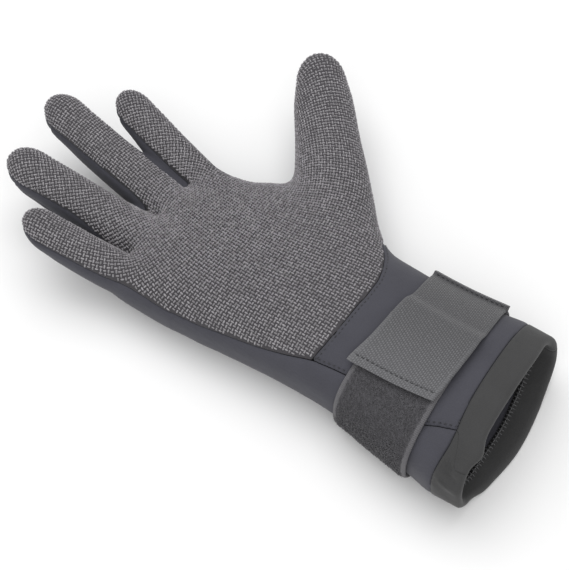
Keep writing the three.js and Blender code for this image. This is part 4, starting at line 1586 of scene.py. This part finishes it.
class GLOVE_OT_strap(bpy.types.Operator):
    """Makes the closing strap: the webbing, the loop tape, its pile and their stitches"""
    bl_idname = "glove.strap"
    bl_label = "Strap"

    def execute(self, context):
        sizes, colours = settings()
        web = webbing_material("webbing", colours.webbing, sizes.webbing_pitch)
        near, far, travelled = tape_form(WEBBING_END, WEBBING_EDGES, over_loop_tape, end_fold)
        webbing = tape_piece("webbing_tape", near, far, travelled, web)
        ride_as_cloth(webbing, "strap_webbing")
        thread = thread_material("strap_thread", colours.thread)
        end_row = int(np.argmin(np.abs(travelled[-1] - travelled - END_STITCH)))
        for name, row in (("end", end_row), ("fin", FIN_STITCH_ROW)):
            line = seam_line(f"webbing_{name}_line", far[row, 3:-3],
                             (far - near)[row, 3:-3], thread)
            add_stitches(f"webbing_{name}_stitches", line, thread, "webbing", STRAP_STITCH,
                         STRAP_PITCH)
            bpy.data.objects.remove(line)

        tape = pile_tape_material("loop_tape", colours.pile, colours.selvedge)
        near, far, travelled = tape_form(LOOP_END, LOOP_EDGES, lambda turn: SEAM_GAP,
                                         lambda left: 0.0)
        loop = tape_piece("loop_pile_tape", near, far, travelled, tape)
        across = np.linspace(0.0, STRAP_WIDTH, TAPE_COLUMNS)
        carries = (across > PILE_MARGIN) & (across < STRAP_WIDTH - PILE_MARGIN)
        on_pile = np.zeros((len(near), 2 * TAPE_COLUMNS), bool)
        on_pile[FIN_ROWS:, TAPE_COLUMNS:] = ((far[FIN_ROWS:, ::-1, 2] > PILE_CLEARANCE)
                                             & carries[::-1])
        set_attribute(loop, "pile", "FLOAT", on_pile)
        fluff = yarn_material("loop_pile", colours.pile)
        pile = repeat_over("loop_pile", loop, pile_tree(), "Tuft",
                           tuft_mesh(sizes.tuft_width, sizes.tuft_height), fluff,
                           {"Density": sizes.pile_density})
        ride_as_cloth(loop, "strap_loop_tape")
        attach(pile, "root")
        return {"FINISHED"}


# ---- Settings, sidebar and registration ----------------------------------------------------

def length(name, description, default, **limits):
    """A length that a user can set, in metres."""
    return bpy.props.FloatProperty(name=name, description=description, default=default,
                                   unit="LENGTH", precision=5, **limits)


def colour(name, description, *default):
    """A colour that a user can set."""
    return bpy.props.FloatVectorProperty(name=name, description=description, default=default,
                                         subtype="COLOR", size=3)


class GloveSizes(bpy.types.PropertyGroup):
    """The sizes that a user would change."""

    mesh_step: length("Mesh step", "Spacing of the cloth's mesh", 0.0012, min=0.0008)
    cloth_thickness: length("Cloth thickness", "Thickness of the foam rubber cloth", 0.003)
    knit_pitch: length("Knit pitch", "Spacing of the fine knit on the plain cloth", 0.0008)
    yarn_pitch: length("Yarn pitch", "Spacing of the grip fabric's yarns", 0.0017)
    float_length: length("Float length", "Length of a yarn float", 0.0023)
    float_width: length("Float width", "Width of a yarn float", 0.00088)
    float_height: length("Float height", "How far a yarn float stands out", 0.00045)
    float_lift: length("Float lift", "How far the floats stand off their ground", 0.00002)
    float_margin: length("Float margin", "How far the floats keep from the seams", 0.0010)
    stitch_pitch: length("Stitch pitch", "Spacing of the panel stitches", 0.0026)
    ladder_pitch: length("Ladder pitch", "Spacing of the stitches inside the hem", 0.0022)
    webbing_pitch: length("Webbing pitch", "Length of a float in the webbing", 0.0017)
    tuft_width: length("Tuft width", "Width of a tuft of the loop pile", 0.00045)
    tuft_height: length("Tuft height", "Height of a tuft of the loop pile", 0.0009)
    pile_density: bpy.props.FloatProperty(
        name="Pile density", description="Tufts to the square metre", default=2.4e6)


class GloveColours(bpy.types.PropertyGroup):
    """The colours that a user would change."""

    thread: colour("Thread", "Sewing thread", 0.030, 0.030, 0.034)
    ladder: colour("Ladder thread", "Thread inside the hem", 0.13, 0.13, 0.135)
    hem: colour("Hem", "Cloth of the cuff's hem", 0.045, 0.045, 0.0455)
    webbing: colour("Webbing", "Woven strap", 0.112, 0.112, 0.118)
    pile: colour("Loop pile", "Soft side of the loop tape", 0.078, 0.076, 0.083)
    selvedge: colour("Selvedge", "Woven edge of the loop tape", 0.125, 0.122, 0.130)
    ground: colour("Ground", "Ground of the grip fabric", 0.056, 0.053, 0.058)
    yarn: colour("Yarn", "Yarns of the grip fabric", 0.276, 0.264, 0.280)
    foam: colour("Foam cloth", "Plain foam rubber cloth", 0.055, 0.055, 0.067)


class GLOVE_PT_panel(bpy.types.Panel):
    """The glove's pieces and settings in the sidebar"""
    bl_idname = "GLOVE_PT_panel"
    bl_label = "Diving Glove"
    bl_space_type = "VIEW_3D"
    bl_region_type = "UI"
    bl_category = "Diving Glove"

    def draw(self, context):
        for operator in OPERATORS:
            self.layout.operator(operator.bl_idname)
        for group in (context.scene.glove_sizes, context.scene.glove_colours):
            for name in group.__annotations__:
                self.layout.prop(group, name)


OPERATORS = (GLOVE_OT_stage, GLOVE_OT_palm, GLOVE_OT_panels, GLOVE_OT_hem, GLOVE_OT_strap)
CLASSES = (GloveSizes, GloveColours, *OPERATORS, GLOVE_PT_panel)


def register():
    """Registers the classes and the scene's settings."""
    for item in CLASSES:
        bpy.utils.register_class(item)
    bpy.types.Scene.glove_sizes = bpy.props.PointerProperty(type=GloveSizes)
    bpy.types.Scene.glove_colours = bpy.props.PointerProperty(type=GloveColours)


def unregister():
    """Takes the classes and settings away."""
    del bpy.types.Scene.glove_colours
    del bpy.types.Scene.glove_sizes
    for item in reversed(CLASSES):
        bpy.utils.unregister_class(item)


def main():
    """Builds the glove."""
    register()
    bpy.ops.glove.stage()
    bpy.ops.glove.palm()
    bpy.ops.glove.panels()
    bpy.ops.glove.hem()
    bpy.ops.glove.strap()


if __name__ == "__main__":
    main()
